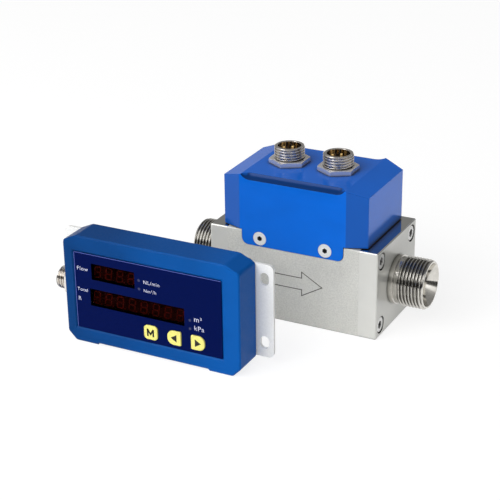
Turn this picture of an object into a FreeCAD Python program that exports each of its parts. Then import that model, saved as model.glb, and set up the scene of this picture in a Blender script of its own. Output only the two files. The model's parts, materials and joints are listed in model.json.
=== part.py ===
import FreeCAD, Part
import math
import os

os.makedirs("parts", exist_ok=True)

V = FreeCAD.Vector
X_AXIS = V(1, 0, 0)
Y_AXIS = V(0, 1, 0)
Z_AXIS = V(0, 0, 1)

# Flow meter with a separate display unit, both standing on z = 0.
# Gas flows along +X, the front looks along -Y. All sizes are in millimetres.

# Flow body: a middle block between two end plates
BODY_LENGTH = 95.0
BODY_DEPTH = 53.0
BODY_HEIGHT = 48.0
PLATE_THICKNESS = 10.0
DUCT_DIAMETER = 16.0
EDGE_BREAK = 0.5

# Ports with a G3/4 outside thread, drawn as a plain cylinder of the major diameter
PORT_THREAD_DIAMETER = 26.44
PORT_REACH = 19.0
PORT_HUB_DIAMETER = 30.0
PORT_HUB_LENGTH = 2.6
PORT_HUB_TAPER = 1.6
PORT_COLLAR_HEIGHT = 0.9
PORT_COLLAR_LENGTH = 0.8
PORT_NECK_DIAMETER = 24.0
PORT_NECK_END = 6.0
PORT_LEAD_LENGTH = 1.2
PORT_LEAD_HEIGHT = 0.9
PORT_RIM_WIDTH = 1.7
PORT_CONE_DEPTH = 7.0
PORT_SPIGOT_DIAMETER = 22.0
PORT_SPIGOT_LENGTH = 6.0

# Socket cap screws that hold the end plates
PLATE_SCREW_DIAMETER = 5.0
PLATE_SCREW_HEAD_DIAMETER = 8.5
PLATE_SCREW_SOCKET_WIDTH = 4.0
PLATE_SCREW_SOCKET_DEPTH = 2.5
PLATE_SCREW_GRIP = 7.4
PLATE_SCREW_INSET = 6.2
PLATE_SCREW_SINK = 0.4
COUNTERBORE_CLEARANCE = 0.8

# Face seals between block and end plates
SEAL_DIAMETER = 26.0
SEAL_WIDTH = 2.4
SEAL_DEPTH = 1.5
SEAL_PLAY = 0.2
SEAL_ROUND = 0.45

# Ultrasonic transducers, set in a V over the duct
BEAM_ANGLE = 65.0
TRANSDUCER_DIAMETER = 8.0
TRANSDUCER_FLANGE_DIAMETER = 10.4
TRANSDUCER_FLANGE_THICKNESS = 2.5
TRANSDUCER_BURIAL = 9.0
TRANSDUCER_CAP_DIAMETER = 6.0
TRANSDUCER_CAP_LENGTH = 5.0
RING_SETBACK = 3.0
RING_GROOVE_WIDTH = 2.0
RING_GROOVE_DEPTH = 1.3
RING_ROUND = 0.3
RETAINER_DIAMETER = 13.0
RETAINER_THICKNESS = 4.0
RETAINER_DEPTH = 3.0
RETAINER_CLEARANCE = 0.4
RETAINER_SLOT_WIDTH = 2.0
RETAINER_SLOT_DEPTH = 1.2

# Gas temperature and pressure sensors
SENSOR_INSET = 5.5
PROBE_DIAMETER = 3.0
PROBE_HEAD_DIAMETER = 6.0
SENSOR_HEAD_HEIGHT = 3.0
SENSOR_SEAT_DEPTH = 4.0
TAPPING_DIAMETER = 1.2

# Milled cover with faceted corners
COVER_LENGTH = 81.4
COVER_DEPTH = 53.4
COVER_END_DEPTH = 45.2
COVER_HEIGHT = 30.9
COVER_END_HEIGHT = 27.6
COVER_FLAT_LENGTH = 58.4
COVER_FACET_START = 60.0
COVER_WALL = 3.0
COVER_SIDE_WALL = 6.3
COVER_ROOF = 4.5
COVER_POCKET_RADIUS = 3.0
GASKET_THICKNESS = 0.5
COVER_GASKET_INSET = 0.4
COVE_LENGTH = 48.6
COVE_RADIUS = 6.0
COVE_WIDTH = 3.9
COVE_DEPTH = 2.6

# Tabs of the cover that reach over the front and rear of the block
TAB_WIDTH = 57.4
TAB_DROP = 7.6
TAB_THICKNESS = 3.0
TAB_CORNER_RADIUS = 3.5
TAB_GAP = 0.25
TAB_SCREW_DIAMETER = 4.0
TAB_SCREW_HEAD_DIAMETER = 7.5
TAB_SCREW_SOCKET_WIDTH = 2.5
TAB_SCREW_SOCKET_DEPTH = 1.6
TAB_SCREW_LENGTH = 10.0
TAB_SCREW_SPACING = 37.0
TAB_SCREW_HEIGHT = 4.2
TAB_SCREW_SINK = 0.15

# Signal board under the cover
BOARD_LENGTH = 66.0
BOARD_DEPTH = 34.0
BOARD_THICKNESS = 1.6
BOARD_STANDOFF = 11.0
BOARD_HOLE_SPACING_X = 54.0
BOARD_HOLE_SPACING_Y = 27.0
BOARD_SCREW_DIAMETER = 3.0
BOARD_SCREW_REACH = 5.0
BOARD_SCREW_HEAD_DIAMETER = 5.4
BOARD_SCREW_HEAD_HEIGHT = 2.0
BOARD_SCREW_SLOT_WIDTH = 0.8
BOARD_SCREW_SLOT_DEPTH = 0.9
STANDOFF_WIDTH = 5.5
STANDOFF_STUD_LENGTH = 6.0
PROCESSOR_WIDTH = 14.0
PROCESSOR_HEIGHT = 1.4
TERMINAL_SPACING = 36.0
TERMINAL_LENGTH = 8.0
TERMINAL_DEPTH = 5.5
TERMINAL_HEIGHT = 5.0
TERMINAL_WALL = 1.0
TERMINAL_INSET = 1.0

# Panel connectors on the cover
CONNECTOR_DIAMETER = 16.0
CONNECTOR_SPACING = 27.8
CONNECTOR_REACH = 9.4
CONNECTOR_NUT_WIDTH = 19.0
CONNECTOR_NUT_THICKNESS = 2.7
CONNECTOR_SOCKET_DIAMETER = 12.2
CONNECTOR_SOCKET_DEPTH = 6.6
CONNECTOR_FLANGE_DIAMETER = 20.0
CONNECTOR_FLANGE_THICKNESS = 2.0
CONNECTOR_TAIL = 5.0
CONNECTOR_PIN_DIAMETER = 1.5
CONNECTOR_PIN_CIRCLE = 7.8
CONNECTOR_PIN_RECESS = 1.8
CONNECTOR_PIN_TAIL = 2.5

# Panel connector on the left side of the display
SIDE_DIAMETER = 12.0
SIDE_REACH = 8.2
SIDE_NUT_WIDTH = 15.0
SIDE_NUT_THICKNESS = 2.2
SIDE_SOCKET_DIAMETER = 9.4
SIDE_SOCKET_DEPTH = 5.9
SIDE_FLANGE_DIAMETER = 14.0
SIDE_FLANGE_THICKNESS = 1.5
SIDE_TAIL = 3.0
SIDE_PIN_DIAMETER = 1.0
SIDE_PIN_CIRCLE = 5.4
SIDE_PIN_RECESS = 1.6
SIDE_PIN_TAIL = 1.5

# Both kinds of panel connector
PIN_COUNT = 5
PIN_ROUND_SHARE = 0.6
THREAD_UNDERCUT = 0.4
THREAD_LIFT = 0.5
SLEEVE_WALL = 0.9
NUT_BEVEL = 0.2
NUT_BEVEL_ANGLE = 30.0

# Display housing
DISPLAY_WIDTH = 100.0
DISPLAY_HEIGHT = 59.2
DISPLAY_DEPTH = 16.8
DISPLAY_X = -46.1
DISPLAY_FRONT = -92.6
DISPLAY_TOP_CUT_X = 8.0
DISPLAY_TOP_CUT_Z = 3.6
DISPLAY_TOP_RADIUS = 4.0
DISPLAY_BOTTOM_CUT = 4.6
DISPLAY_CORNER_RADIUS = 2.5
DISPLAY_FOOT_LENGTH = 13.0
DISPLAY_FOOT_HEIGHT = 0.8
DISPLAY_WALL = 3.0
DISPLAY_FACE = 2.5
DISPLAY_EDGE = 0.7
DISPLAY_CORNER_BLOCK = 10.5

# Front panel sheet, sunk into the face of the housing
PANEL_MARGIN_LEFT = 6.1
PANEL_MARGIN_RIGHT = 9.9
PANEL_MARGIN_BOTTOM = 8.3
PANEL_MARGIN_TOP = 8.9
PANEL_SINK = 0.8
PANEL_THICKNESS = 0.5
PANEL_BEVEL = 1.0
PANEL_GAP = 0.1
PANEL_CORNER_RADIUS = 0.5

# Rows on the panel: flow window, total window, keys
ROWS_DROP = 1.5
WINDOW_FLOW_INSET = 10.1
WINDOW_FLOW_WIDTH = 25.2
WINDOW_FLOW_HEIGHT = 8.9
WINDOW_ROW_GAP = 5.1
WINDOW_TOTAL_INSET = 8.7
WINDOW_TOTAL_WIDTH = 54.4
WINDOW_TOTAL_HEIGHT = 9.5
WINDOW_SINK = 0.4
WINDOW_RADIUS = 0.3
FLANGE_WIDTH = 0.9
FLANGE_THICKNESS = 0.8
DIGITS_LAP = 0.4

# Keys
KEY_ROW_GAP = 3.85
KEY_INSET = 9.65
KEY_SIZE = 7.7
KEY_PITCH = 13.4
KEY_GAP = 0.2
KEY_RAISE = 0.4
KEY_TRAVEL = 0.6
KEY_OVERTRAVEL = 0.4
KEY_EDGE = 0.3
KEY_ROUND = 2.0
KEY_BIG_ROUND = 3.4
KEY_SMALL_ROUND = 0.7
KEY_STEM_DIAMETER = 3.0
KEY_STEM_ENTRY = 1.0
SWITCH_SIZE = 6.0
SWITCH_HEIGHT = 3.5

# Unit lamps, beside the two windows
LAMP_DIAMETER = 1.6
LAMP_PITCH = 4.6
LAMP_FLOW_GAP = 2.4
LAMP_FLOW_RISE = 5.0
LAMP_TOTAL_GAP = 3.0
LAMP_TOTAL_RISE = 3.8

# Display board on four bosses
DISPLAY_BOARD_GAP = 1.8
DISPLAY_BOARD_SETBACK = 8.6
DISPLAY_BOSS_INSET = 2.4
DISPLAY_BOSS_DIAMETER = 4.4
DISPLAY_SCREW_DIAMETER = 2.5
DISPLAY_SCREW_HEAD_DIAMETER = 4.5
DISPLAY_SCREW_HEAD_HEIGHT = 1.7
DISPLAY_SCREW_STANDOFF = 1.1

# Sheet metal bracket that closes the housing at the rear
BRACKET_THICKNESS = 1.5
BRACKET_EAR = 9.6
BRACKET_MARGIN_BOTTOM = 5.0
BRACKET_MARGIN_TOP = 4.2
BRACKET_CORNER = 3.0
BRACKET_SLOT_WIDTH = 4.8
BRACKET_SLOT_LENGTH = 6.8
BRACKET_SLOT_INSET = 4.9
BRACKET_SLOT_SPACING = 34.2
BRACKET_SCREW_DIAMETER = 3.0
BRACKET_SCREW_REACH = 8.0
BRACKET_SCREW_INSET = 6.6
BRACKET_SCREW_RISE = 5.1
BRACKET_SCREW_HEAD_DIAMETER = 5.6
BRACKET_SCREW_HEAD_HEIGHT = 1.8
BRACKET_SCREW_HEAD_ROUND = 0.6
BRACKET_SCREW_CROSS_LENGTH = 2.6
BRACKET_SCREW_CROSS_WIDTH = 0.5
BRACKET_SCREW_CROSS_DEPTH = 0.8
REAR_GASKET_INSET = 1.0
REAR_GASKET_LAP = 2.0

# Small clearances: hole round a screw, depth below its tip, broken edge, run of a cutter past a face
HOLE_CLEARANCE = 0.4
SNUG_CLEARANCE = 0.2
HOLE_RUNOUT = 1.0
SMALL_EDGE = 0.4
OVERRUN = 1.0

# Values that follow from the sizes above
HALF_LENGTH = BODY_LENGTH / 2
HALF_DEPTH = BODY_DEPTH / 2
BLOCK_END = HALF_LENGTH - PLATE_THICKNESS
AXIS_HEIGHT = BODY_HEIGHT / 2
DUCT_FLOOR = AXIS_HEIGHT - DUCT_DIAMETER / 2
BEAM_SLOPE = math.radians(BEAM_ANGLE)
BEAM_TOP = (BODY_HEIGHT - DUCT_FLOOR) / math.sin(BEAM_SLOPE)
BORE_END = BEAM_TOP + RETAINER_DIAMETER
FLANGE_SEAT = BEAM_TOP - TRANSDUCER_FLANGE_THICKNESS - RETAINER_DEPTH
TRANSDUCER_TIP = FLANGE_SEAT - TRANSDUCER_BURIAL
TAB_INNER = COVER_DEPTH / 2 - TAB_THICKNESS
COVER_BOTTOM = BODY_HEIGHT + GASKET_THICKNESS
COVER_TOP = BODY_HEIGHT + COVER_HEIGHT
COVER_CAVITY_TOP = COVER_TOP - COVER_ROOF
CAVITY_LENGTH = COVER_LENGTH - 2 * COVER_WALL
CAVITY_DEPTH = COVER_DEPTH - 2 * COVER_SIDE_WALL
SENSOR_X = min(BLOCK_END, CAVITY_LENGTH / 2) - SENSOR_INSET
TAB_SCREW_Z = BODY_HEIGHT - TAB_DROP + TAB_SCREW_HEIGHT
TAB_SCREW_X = TAB_SCREW_SPACING / 2
BOARD_BOTTOM = BODY_HEIGHT + BOARD_STANDOFF
BOARD_TOP = BOARD_BOTTOM + BOARD_THICKNESS
DISPLAY_LEFT = DISPLAY_X - DISPLAY_WIDTH / 2
PANE_BACK = DISPLAY_FACE + FLANGE_THICKNESS
PANEL_LEFT = PANEL_MARGIN_LEFT - DISPLAY_WIDTH / 2
PANEL_RIGHT = DISPLAY_WIDTH / 2 - PANEL_MARGIN_RIGHT
PANEL_TOP = DISPLAY_HEIGHT - PANEL_MARGIN_TOP
PANEL_MIDDLE = (PANEL_MARGIN_BOTTOM + PANEL_TOP) / 2
ROWS_HEIGHT = WINDOW_FLOW_HEIGHT + WINDOW_ROW_GAP + WINDOW_TOTAL_HEIGHT + KEY_ROW_GAP + KEY_SIZE
WINDOW_FLOW_BOTTOM = PANEL_MIDDLE - ROWS_DROP + ROWS_HEIGHT / 2 - WINDOW_FLOW_HEIGHT
WINDOW_TOTAL_BOTTOM = WINDOW_FLOW_BOTTOM - WINDOW_ROW_GAP - WINDOW_TOTAL_HEIGHT
WINDOW_FLOW_LEFT = PANEL_LEFT + WINDOW_FLOW_INSET
WINDOW_TOTAL_LEFT = PANEL_LEFT + WINDOW_TOTAL_INSET
KEY_HEIGHT = WINDOW_TOTAL_BOTTOM - KEY_ROW_GAP - KEY_SIZE / 2
KEY_RIGHT_U = PANEL_RIGHT - KEY_INSET - KEY_SIZE / 2
SWITCH_FRONT = DISPLAY_BOARD_SETBACK - SWITCH_HEIGHT
DISPLAY_BOARD_HALF = DISPLAY_WIDTH / 2 - DISPLAY_CORNER_BLOCK - DISPLAY_BOARD_GAP
DISPLAY_BOARD_BOTTOM = DISPLAY_FOOT_HEIGHT + DISPLAY_WALL + DISPLAY_BOARD_GAP
DISPLAY_BOARD_TOP = DISPLAY_HEIGHT - DISPLAY_WALL - DISPLAY_BOARD_GAP
DISPLAY_BOARD_BACK = DISPLAY_BOARD_SETBACK + BOARD_THICKNESS
BRACKET_TOP = DISPLAY_HEIGHT - BRACKET_MARGIN_TOP
BRACKET_FRONT = DISPLAY_DEPTH + GASKET_THICKNESS
BRACKET_BACK = BRACKET_FRONT + BRACKET_THICKNESS
SIDE_SETBACK = (DISPLAY_FACE + DISPLAY_DEPTH) / 2
SIDE_HEIGHT = DISPLAY_HEIGHT / 2


# General shapes

def box(x0, x1, y0, y1, z0, z1):
    return Part.makeBox(x1 - x0, y1 - y0, z1 - z0, V(x0, y0, z0))


def rod(start, end, diameter):
    along = end - start
    return Part.makeCylinder(diameter / 2, along.Length, start, along)


def arc_corner(before, corner, after, radius):
    to_before = (before - corner).normalize()
    to_after = (after - corner).normalize()
    half = to_before.getAngle(to_after) / 2
    cut = radius / math.tan(half)
    start = corner + to_before * cut
    end = corner + to_after * cut
    bisector = (to_before + to_after).normalize()
    centre = corner + bisector * (radius / math.sin(half))
    middle = centre - bisector * radius
    return start, middle, end


def rounded_face(points, radii):
    count = len(points)
    pieces = []
    for i in range(count):
        corner = points[i]
        if radii[i] > 0:
            pieces.append(arc_corner(points[i - 1], corner, points[(i + 1) % count], radii[i]))
        else:
            pieces.append((corner, None, corner))
    edges = []
    for i in range(count):
        start, middle, end = pieces[i]
        if middle is not None:
            edges.append(Part.Arc(start, middle, end).toShape())
        following = pieces[(i + 1) % count][0]
        if (following - end).Length > 1e-6:
            edges.append(Part.LineSegment(end, following).toShape())
    return Part.Face(Part.Wire(edges))


def polygon_face(points):
    return Part.Face(Part.makePolygon(points + [points[0]]))


def fuse_all(shapes):
    return shapes[0].multiFuse(shapes[1:]).removeSplitter()


def hexagon(centre, width, thickness, axis, corner):
    # width is across the flats, corner the direction of the first corner
    points = []
    for i in range(6):
        turn = FreeCAD.Rotation(axis, 60 * i)
        points.append(centre + turn.multVec(corner) * (width / math.sqrt(3)))
    return polygon_face(points).extrude(axis * thickness)


def round_edges(shape, diameter, axis_place):
    # the circular edges whose centre lies at the given place along the axis
    axis, place = axis_place
    found = []
    for edge in shape.Edges:
        at_place = abs(edge.CenterOfMass.dot(axis) - place) < 0.01
        if at_place and edge.Length > diameter:
            found.append(edge)
    return found


def export(name, shape):
    shape.exportStep("parts/" + name + ".step")


def export_group(name, shapes):
    export(name, Part.makeCompound(shapes))


# Flow body

def plate_screw_places():
    y = HALF_DEPTH - PLATE_SCREW_INSET
    z = AXIS_HEIGHT - PLATE_SCREW_INSET
    return [(sy * y, AXIS_HEIGHT + sz * z) for sy in (-1, 1) for sz in (-1, 1)]


def beam_point(side, distance):
    # a point on the sound path, measured from where it meets the duct floor
    return V(0, 0, DUCT_FLOOR) + beam_direction(side) * distance


def beam_direction(side):
    return V(side * math.cos(BEAM_SLOPE), 0, math.sin(BEAM_SLOPE))


def tab_recess(side):
    # pocket in the block that takes one tab of the cover
    half = TAB_WIDTH / 2 + TAB_GAP
    bottom = BODY_HEIGHT - TAB_DROP - TAB_GAP
    top = BODY_HEIGHT + OVERRUN
    radius = TAB_CORNER_RADIUS + TAB_GAP
    y = side * TAB_INNER
    points = [V(-half, y, bottom), V(half, y, bottom), V(half, y, top), V(-half, y, top)]
    return rounded_face(points, [radius, radius, 0, 0]).extrude(V(0, side * BODY_DEPTH, 0))


def seal_groove(side):
    start = V(side * (BLOCK_END - SEAL_DEPTH), 0, AXIS_HEIGHT)
    end = V(side * (BLOCK_END + OVERRUN), 0, AXIS_HEIGHT)
    outer = rod(start, end, SEAL_DIAMETER + SEAL_WIDTH)
    return outer.cut(rod(start, end, SEAL_DIAMETER - SEAL_WIDTH))


def plate_screw_holes(side):
    start = side * (BLOCK_END - PLATE_SCREW_GRIP - HOLE_RUNOUT)
    end = side * (BLOCK_END + OVERRUN)
    return [rod(V(start, y, z), V(end, y, z), PLATE_SCREW_DIAMETER) for y, z in plate_screw_places()]


def tab_screw_holes(side):
    start = side * (COVER_DEPTH / 2 - TAB_SCREW_LENGTH - HOLE_RUNOUT)
    end = side * COVER_DEPTH
    holes = []
    for x in (-TAB_SCREW_X, TAB_SCREW_X):
        holes.append(rod(V(x, start, TAB_SCREW_Z), V(x, end, TAB_SCREW_Z), TAB_SCREW_DIAMETER))
    return holes


def transducer_bores(side):
    duct = rod(beam_point(side, DUCT_DIAMETER / 2), beam_point(side, BORE_END), TRANSDUCER_DIAMETER)
    seat = rod(beam_point(side, FLANGE_SEAT), beam_point(side, BORE_END), RETAINER_DIAMETER)
    return [duct, seat]


def standoff_holes():
    low = BODY_HEIGHT - STANDOFF_STUD_LENGTH - HOLE_RUNOUT
    high = BODY_HEIGHT + OVERRUN
    return [rod(V(x, y, low), V(x, y, high), BOARD_SCREW_DIAMETER) for x, y in board_hole_places()]


def sensor_holes():
    top = BODY_HEIGHT + OVERRUN
    probe = rod(V(SENSOR_X, 0, AXIS_HEIGHT), V(SENSOR_X, 0, top), PROBE_DIAMETER)
    tapping = rod(V(-SENSOR_X, 0, AXIS_HEIGHT), V(-SENSOR_X, 0, top), TAPPING_DIAMETER)
    seat = rod(V(-SENSOR_X, 0, BODY_HEIGHT - SENSOR_SEAT_DEPTH), V(-SENSOR_X, 0, top), PROBE_HEAD_DIAMETER)
    return [probe, tapping, seat]


def make_block():
    block = box(-BLOCK_END, BLOCK_END, -HALF_DEPTH, HALF_DEPTH, 0, BODY_HEIGHT)
    long_edges = [e for e in block.Edges if abs(e.tangentAt(e.FirstParameter).x) > 0.99]
    block = block.makeChamfer(EDGE_BREAK, long_edges)
    past = BLOCK_END + OVERRUN
    tools = [rod(V(-past, 0, AXIS_HEIGHT), V(past, 0, AXIS_HEIGHT), DUCT_DIAMETER)]
    tools += standoff_holes() + sensor_holes()
    for side in (-1, 1):
        tools += [seal_groove(side), tab_recess(side)]
        tools += plate_screw_holes(side) + tab_screw_holes(side) + transducer_bores(side)
    return block.cut(tools)


def make_plate(side):
    inner = side * BLOCK_END
    outer = side * HALF_LENGTH
    plate = box(min(inner, outer), max(inner, outer), -HALF_DEPTH, HALF_DEPTH, 0, BODY_HEIGHT)
    edges = [e for e in plate.Edges if abs(e.CenterOfMass.x - inner) > EDGE_BREAK]
    plate = plate.makeChamfer(EDGE_BREAK, edges)
    start = inner - side * OVERRUN
    end = outer + side * OVERRUN
    tools = [rod(V(start, 0, AXIS_HEIGHT), V(end, 0, AXIS_HEIGHT), DUCT_DIAMETER)]
    spigot_seat = V(outer - side * PORT_SPIGOT_LENGTH, 0, AXIS_HEIGHT)
    tools.append(rod(spigot_seat, V(end, 0, AXIS_HEIGHT), PORT_SPIGOT_DIAMETER))
    head_seat = outer - side * (PLATE_SCREW_DIAMETER + PLATE_SCREW_SINK)
    counterbore = PLATE_SCREW_HEAD_DIAMETER + COUNTERBORE_CLEARANCE
    for y, z in plate_screw_places():
        tools.append(rod(V(start, y, z), V(end, y, z), PLATE_SCREW_DIAMETER + HOLE_CLEARANCE))
        tools.append(rod(V(head_seat, y, z), V(end, y, z), counterbore))
    return plate.cut(tools)


def make_port(side):
    # turned profile: distance from the plate face against radius
    bore = DUCT_DIAMETER / 2
    spigot = PORT_SPIGOT_DIAMETER / 2
    thread = PORT_THREAD_DIAMETER / 2
    neck = PORT_NECK_DIAMETER / 2
    hub = PORT_HUB_DIAMETER / 2
    collar_end = PORT_HUB_LENGTH + PORT_COLLAR_LENGTH
    profile = [
        (-PORT_SPIGOT_LENGTH, bore),
        (-PORT_SPIGOT_LENGTH, spigot),
        (0, spigot),
        (0, hub),
        (PORT_HUB_LENGTH, hub - PORT_HUB_TAPER),
        (PORT_HUB_LENGTH, neck + PORT_COLLAR_HEIGHT),
        (collar_end, neck + PORT_COLLAR_HEIGHT),
        (collar_end, neck),
        (PORT_NECK_END - PORT_LEAD_LENGTH, neck),
        (PORT_NECK_END, thread),
        (PORT_REACH - PORT_LEAD_LENGTH, thread),
        (PORT_REACH, thread - PORT_LEAD_HEIGHT),
        (PORT_REACH, thread - PORT_RIM_WIDTH),
        (PORT_REACH - PORT_CONE_DEPTH, bore),
    ]
    points = [V(side * (HALF_LENGTH + x), 0, AXIS_HEIGHT + r) for x, r in profile]
    return polygon_face(points).revolve(V(0, 0, AXIS_HEIGHT), X_AXIS, 360)


def make_plate_screw(side, y, z):
    top = side * (HALF_LENGTH - PLATE_SCREW_SINK)
    seat = top - side * PLATE_SCREW_DIAMETER
    tip = side * (BLOCK_END - PLATE_SCREW_GRIP)
    head = rod(V(seat, y, z), V(top, y, z), PLATE_SCREW_HEAD_DIAMETER)
    rim = round_edges(head, PLATE_SCREW_HEAD_DIAMETER, (X_AXIS, top))
    head = head.makeChamfer(SMALL_EDGE, rim)
    shank = rod(V(tip, y, z), V(seat, y, z), PLATE_SCREW_DIAMETER)
    floor = V(top - side * PLATE_SCREW_SOCKET_DEPTH, y, z)
    outward = X_AXIS * side
    socket = hexagon(floor, PLATE_SCREW_SOCKET_WIDTH, PLATE_SCREW_DIAMETER, outward, Z_AXIS)
    return head.fuse(shank).removeSplitter().cut(socket)


def make_face_seal(side):
    start = V(side * (BLOCK_END - SEAL_DEPTH), 0, AXIS_HEIGHT)
    end = V(side * BLOCK_END, 0, AXIS_HEIGHT)
    width = SEAL_WIDTH - 2 * SEAL_PLAY
    ring = rod(start, end, SEAL_DIAMETER + width)
    ring = ring.cut(rod(start, end, SEAL_DIAMETER - width))
    return ring.makeFillet(SEAL_ROUND, ring.Edges)


# Transducers and sensors

def beam_rod(side, start, end, diameter):
    return rod(beam_point(side, start), beam_point(side, end), diameter)


def make_transducer(side):
    flange_top = FLANGE_SEAT + TRANSDUCER_FLANGE_THICKNESS
    body = beam_rod(side, TRANSDUCER_TIP, FLANGE_SEAT, TRANSDUCER_DIAMETER)
    flange = beam_rod(side, FLANGE_SEAT, flange_top, TRANSDUCER_FLANGE_DIAMETER)
    cap = beam_rod(side, flange_top, flange_top + TRANSDUCER_CAP_LENGTH, TRANSDUCER_CAP_DIAMETER)
    low = TRANSDUCER_TIP + RING_SETBACK
    high = low + RING_GROOVE_WIDTH
    groove = beam_rod(side, low, high, TRANSDUCER_DIAMETER + OVERRUN)
    core = beam_rod(side, low, high, TRANSDUCER_DIAMETER - 2 * RING_GROOVE_DEPTH)
    return fuse_all([body, flange, cap]).cut(groove.cut(core))


def make_transducer_seal(side):
    low = TRANSDUCER_TIP + RING_SETBACK + SEAL_PLAY
    high = low + RING_GROOVE_WIDTH - 2 * SEAL_PLAY
    ring = beam_rod(side, low, high, TRANSDUCER_DIAMETER)
    ring = ring.cut(beam_rod(side, low, high, TRANSDUCER_DIAMETER - 2 * RING_GROOVE_DEPTH))
    return ring.makeFillet(RING_ROUND, ring.Edges)


def make_retainer(side):
    # screwed ring that presses the flange of the transducer on its seat
    step = FLANGE_SEAT + TRANSDUCER_FLANGE_THICKNESS
    end = step + RETAINER_THICKNESS
    ring = beam_rod(side, FLANGE_SEAT, end, RETAINER_DIAMETER)
    ring = ring.cut(beam_rod(side, FLANGE_SEAT, step, TRANSDUCER_FLANGE_DIAMETER + RETAINER_CLEARANCE))
    ring = ring.cut(beam_rod(side, step, end, TRANSDUCER_CAP_DIAMETER + RETAINER_CLEARANCE))
    half_width = RETAINER_SLOT_WIDTH / 2
    half_length = RETAINER_DIAMETER / 2 + OVERRUN
    slot = box(-half_width, half_width, -half_length, half_length, 0, RETAINER_SLOT_DEPTH + OVERRUN)
    floor = beam_point(side, end - RETAINER_SLOT_DEPTH)
    slot.Placement = FreeCAD.Placement(floor, FreeCAD.Rotation(Z_AXIS, beam_direction(side)))
    return ring.cut(slot)


def make_probe():
    base = V(SENSOR_X, 0, BODY_HEIGHT)
    head = rod(base, base + Z_AXIS * SENSOR_HEAD_HEIGHT, PROBE_HEAD_DIAMETER)
    tip = V(SENSOR_X, 0, AXIS_HEIGHT + DUCT_DIAMETER / 4)
    return head.fuse(rod(tip, base, PROBE_DIAMETER)).removeSplitter()


def make_pressure_sensor():
    seat = V(-SENSOR_X, 0, BODY_HEIGHT - SENSOR_SEAT_DEPTH)
    top = V(-SENSOR_X, 0, BODY_HEIGHT + SENSOR_HEAD_HEIGHT)
    pocket = rod(seat, seat + Z_AXIS * TAPPING_DIAMETER, TAPPING_DIAMETER)
    return rod(seat, top, PROBE_HEAD_DIAMETER).cut(pocket)


# Cover

def cover_outline(inset):
    x_end = COVER_LENGTH / 2 - inset
    x_facet = COVER_FACET_START / 2
    y_mid = COVER_DEPTH / 2 - inset
    y_end = COVER_END_DEPTH / 2 - inset
    corners = [(x_end, -y_end), (x_end, y_end), (x_facet, y_mid), (-x_facet, y_mid)]
    corners += [(-x_end, y_end), (-x_end, -y_end), (-x_facet, -y_mid), (x_facet, -y_mid)]
    return corners


def outline_prism(corners, z0, z1):
    return polygon_face([V(x, y, z0) for x, y in corners]).extrude(V(0, 0, z1 - z0))


def cavity_prism(z0, z1):
    half_x = CAVITY_LENGTH / 2
    half_y = CAVITY_DEPTH / 2
    points = [V(-half_x, -half_y, z0), V(half_x, -half_y, z0)]
    points += [V(half_x, half_y, z0), V(-half_x, half_y, z0)]
    return rounded_face(points, [COVER_POCKET_RADIUS] * 4).extrude(V(0, 0, z1 - z0))


def cove_cutter(side):
    # round ended cutter run along the top edge
    chord = math.hypot(COVE_WIDTH, COVE_DEPTH)
    lift = math.sqrt(COVE_RADIUS ** 2 - chord ** 2 / 4)
    y = COVER_DEPTH / 2 - COVE_WIDTH / 2 + lift * COVE_DEPTH / chord
    z = COVER_TOP - COVE_DEPTH / 2 + lift * COVE_WIDTH / chord
    start = V(-COVE_LENGTH / 2, side * y, z)
    end = V(COVE_LENGTH / 2, side * y, z)
    return [
        rod(start, end, 2 * COVE_RADIUS),
        Part.makeSphere(COVE_RADIUS, start),
        Part.makeSphere(COVE_RADIUS, end),
    ]


def end_bevel(side):
    flat = side * COVER_FLAT_LENGTH / 2
    end = side * COVER_LENGTH / 2
    slope = (COVER_HEIGHT - COVER_END_HEIGHT) / (end - flat)
    far = end + side * OVERRUN
    top = COVER_TOP + OVERRUN
    points = [
        V(flat, -COVER_DEPTH, COVER_TOP),
        V(far, -COVER_DEPTH, COVER_TOP - (far - flat) * slope),
        V(far, -COVER_DEPTH, top),
        V(flat, -COVER_DEPTH, top),
    ]
    return polygon_face(points).extrude(V(0, 2 * COVER_DEPTH, 0))


def make_tab(side):
    half = TAB_WIDTH / 2
    bottom = BODY_HEIGHT - TAB_DROP
    top = COVER_BOTTOM + OVERRUN
    y = side * TAB_INNER
    points = [V(-half, y, bottom), V(half, y, bottom), V(half, y, top), V(-half, y, top)]
    radii = [TAB_CORNER_RADIUS, TAB_CORNER_RADIUS, 0, 0]
    return rounded_face(points, radii).extrude(V(0, side * TAB_THICKNESS, 0))


def countersink(x, side):
    wide = TAB_SCREW_HEAD_DIAMETER / 2 + TAB_SCREW_SINK
    face = V(x, side * COVER_DEPTH / 2, TAB_SCREW_Z)
    inward = V(0, -side, 0)
    hole = rod(face + inward * COVER_SIDE_WALL, face - inward, TAB_SCREW_DIAMETER + HOLE_CLEARANCE)
    cone = Part.makeCone(wide, 0, wide, face, inward)
    lip = rod(face, face - inward, 2 * wide)
    return [hole, cone, lip]


def make_cover():
    shell = outline_prism(cover_outline(0), COVER_BOTTOM, COVER_TOP)
    shell = shell.cut([end_bevel(-1), end_bevel(1)])
    shell = fuse_all([shell, make_tab(-1), make_tab(1)])
    tools = [cavity_prism(COVER_BOTTOM - OVERRUN, COVER_CAVITY_TOP)]
    for x in (-CONNECTOR_SPACING / 2, CONNECTOR_SPACING / 2):
        low = V(x, 0, COVER_CAVITY_TOP - OVERRUN)
        high = V(x, 0, COVER_TOP + OVERRUN)
        tools.append(rod(low, high, CONNECTOR_DIAMETER + SNUG_CLEARANCE))
    for side in (-1, 1):
        tools += cove_cutter(side)
        for x in (-TAB_SCREW_X, TAB_SCREW_X):
            tools += countersink(x, side)
    return shell.cut(tools)


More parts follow.
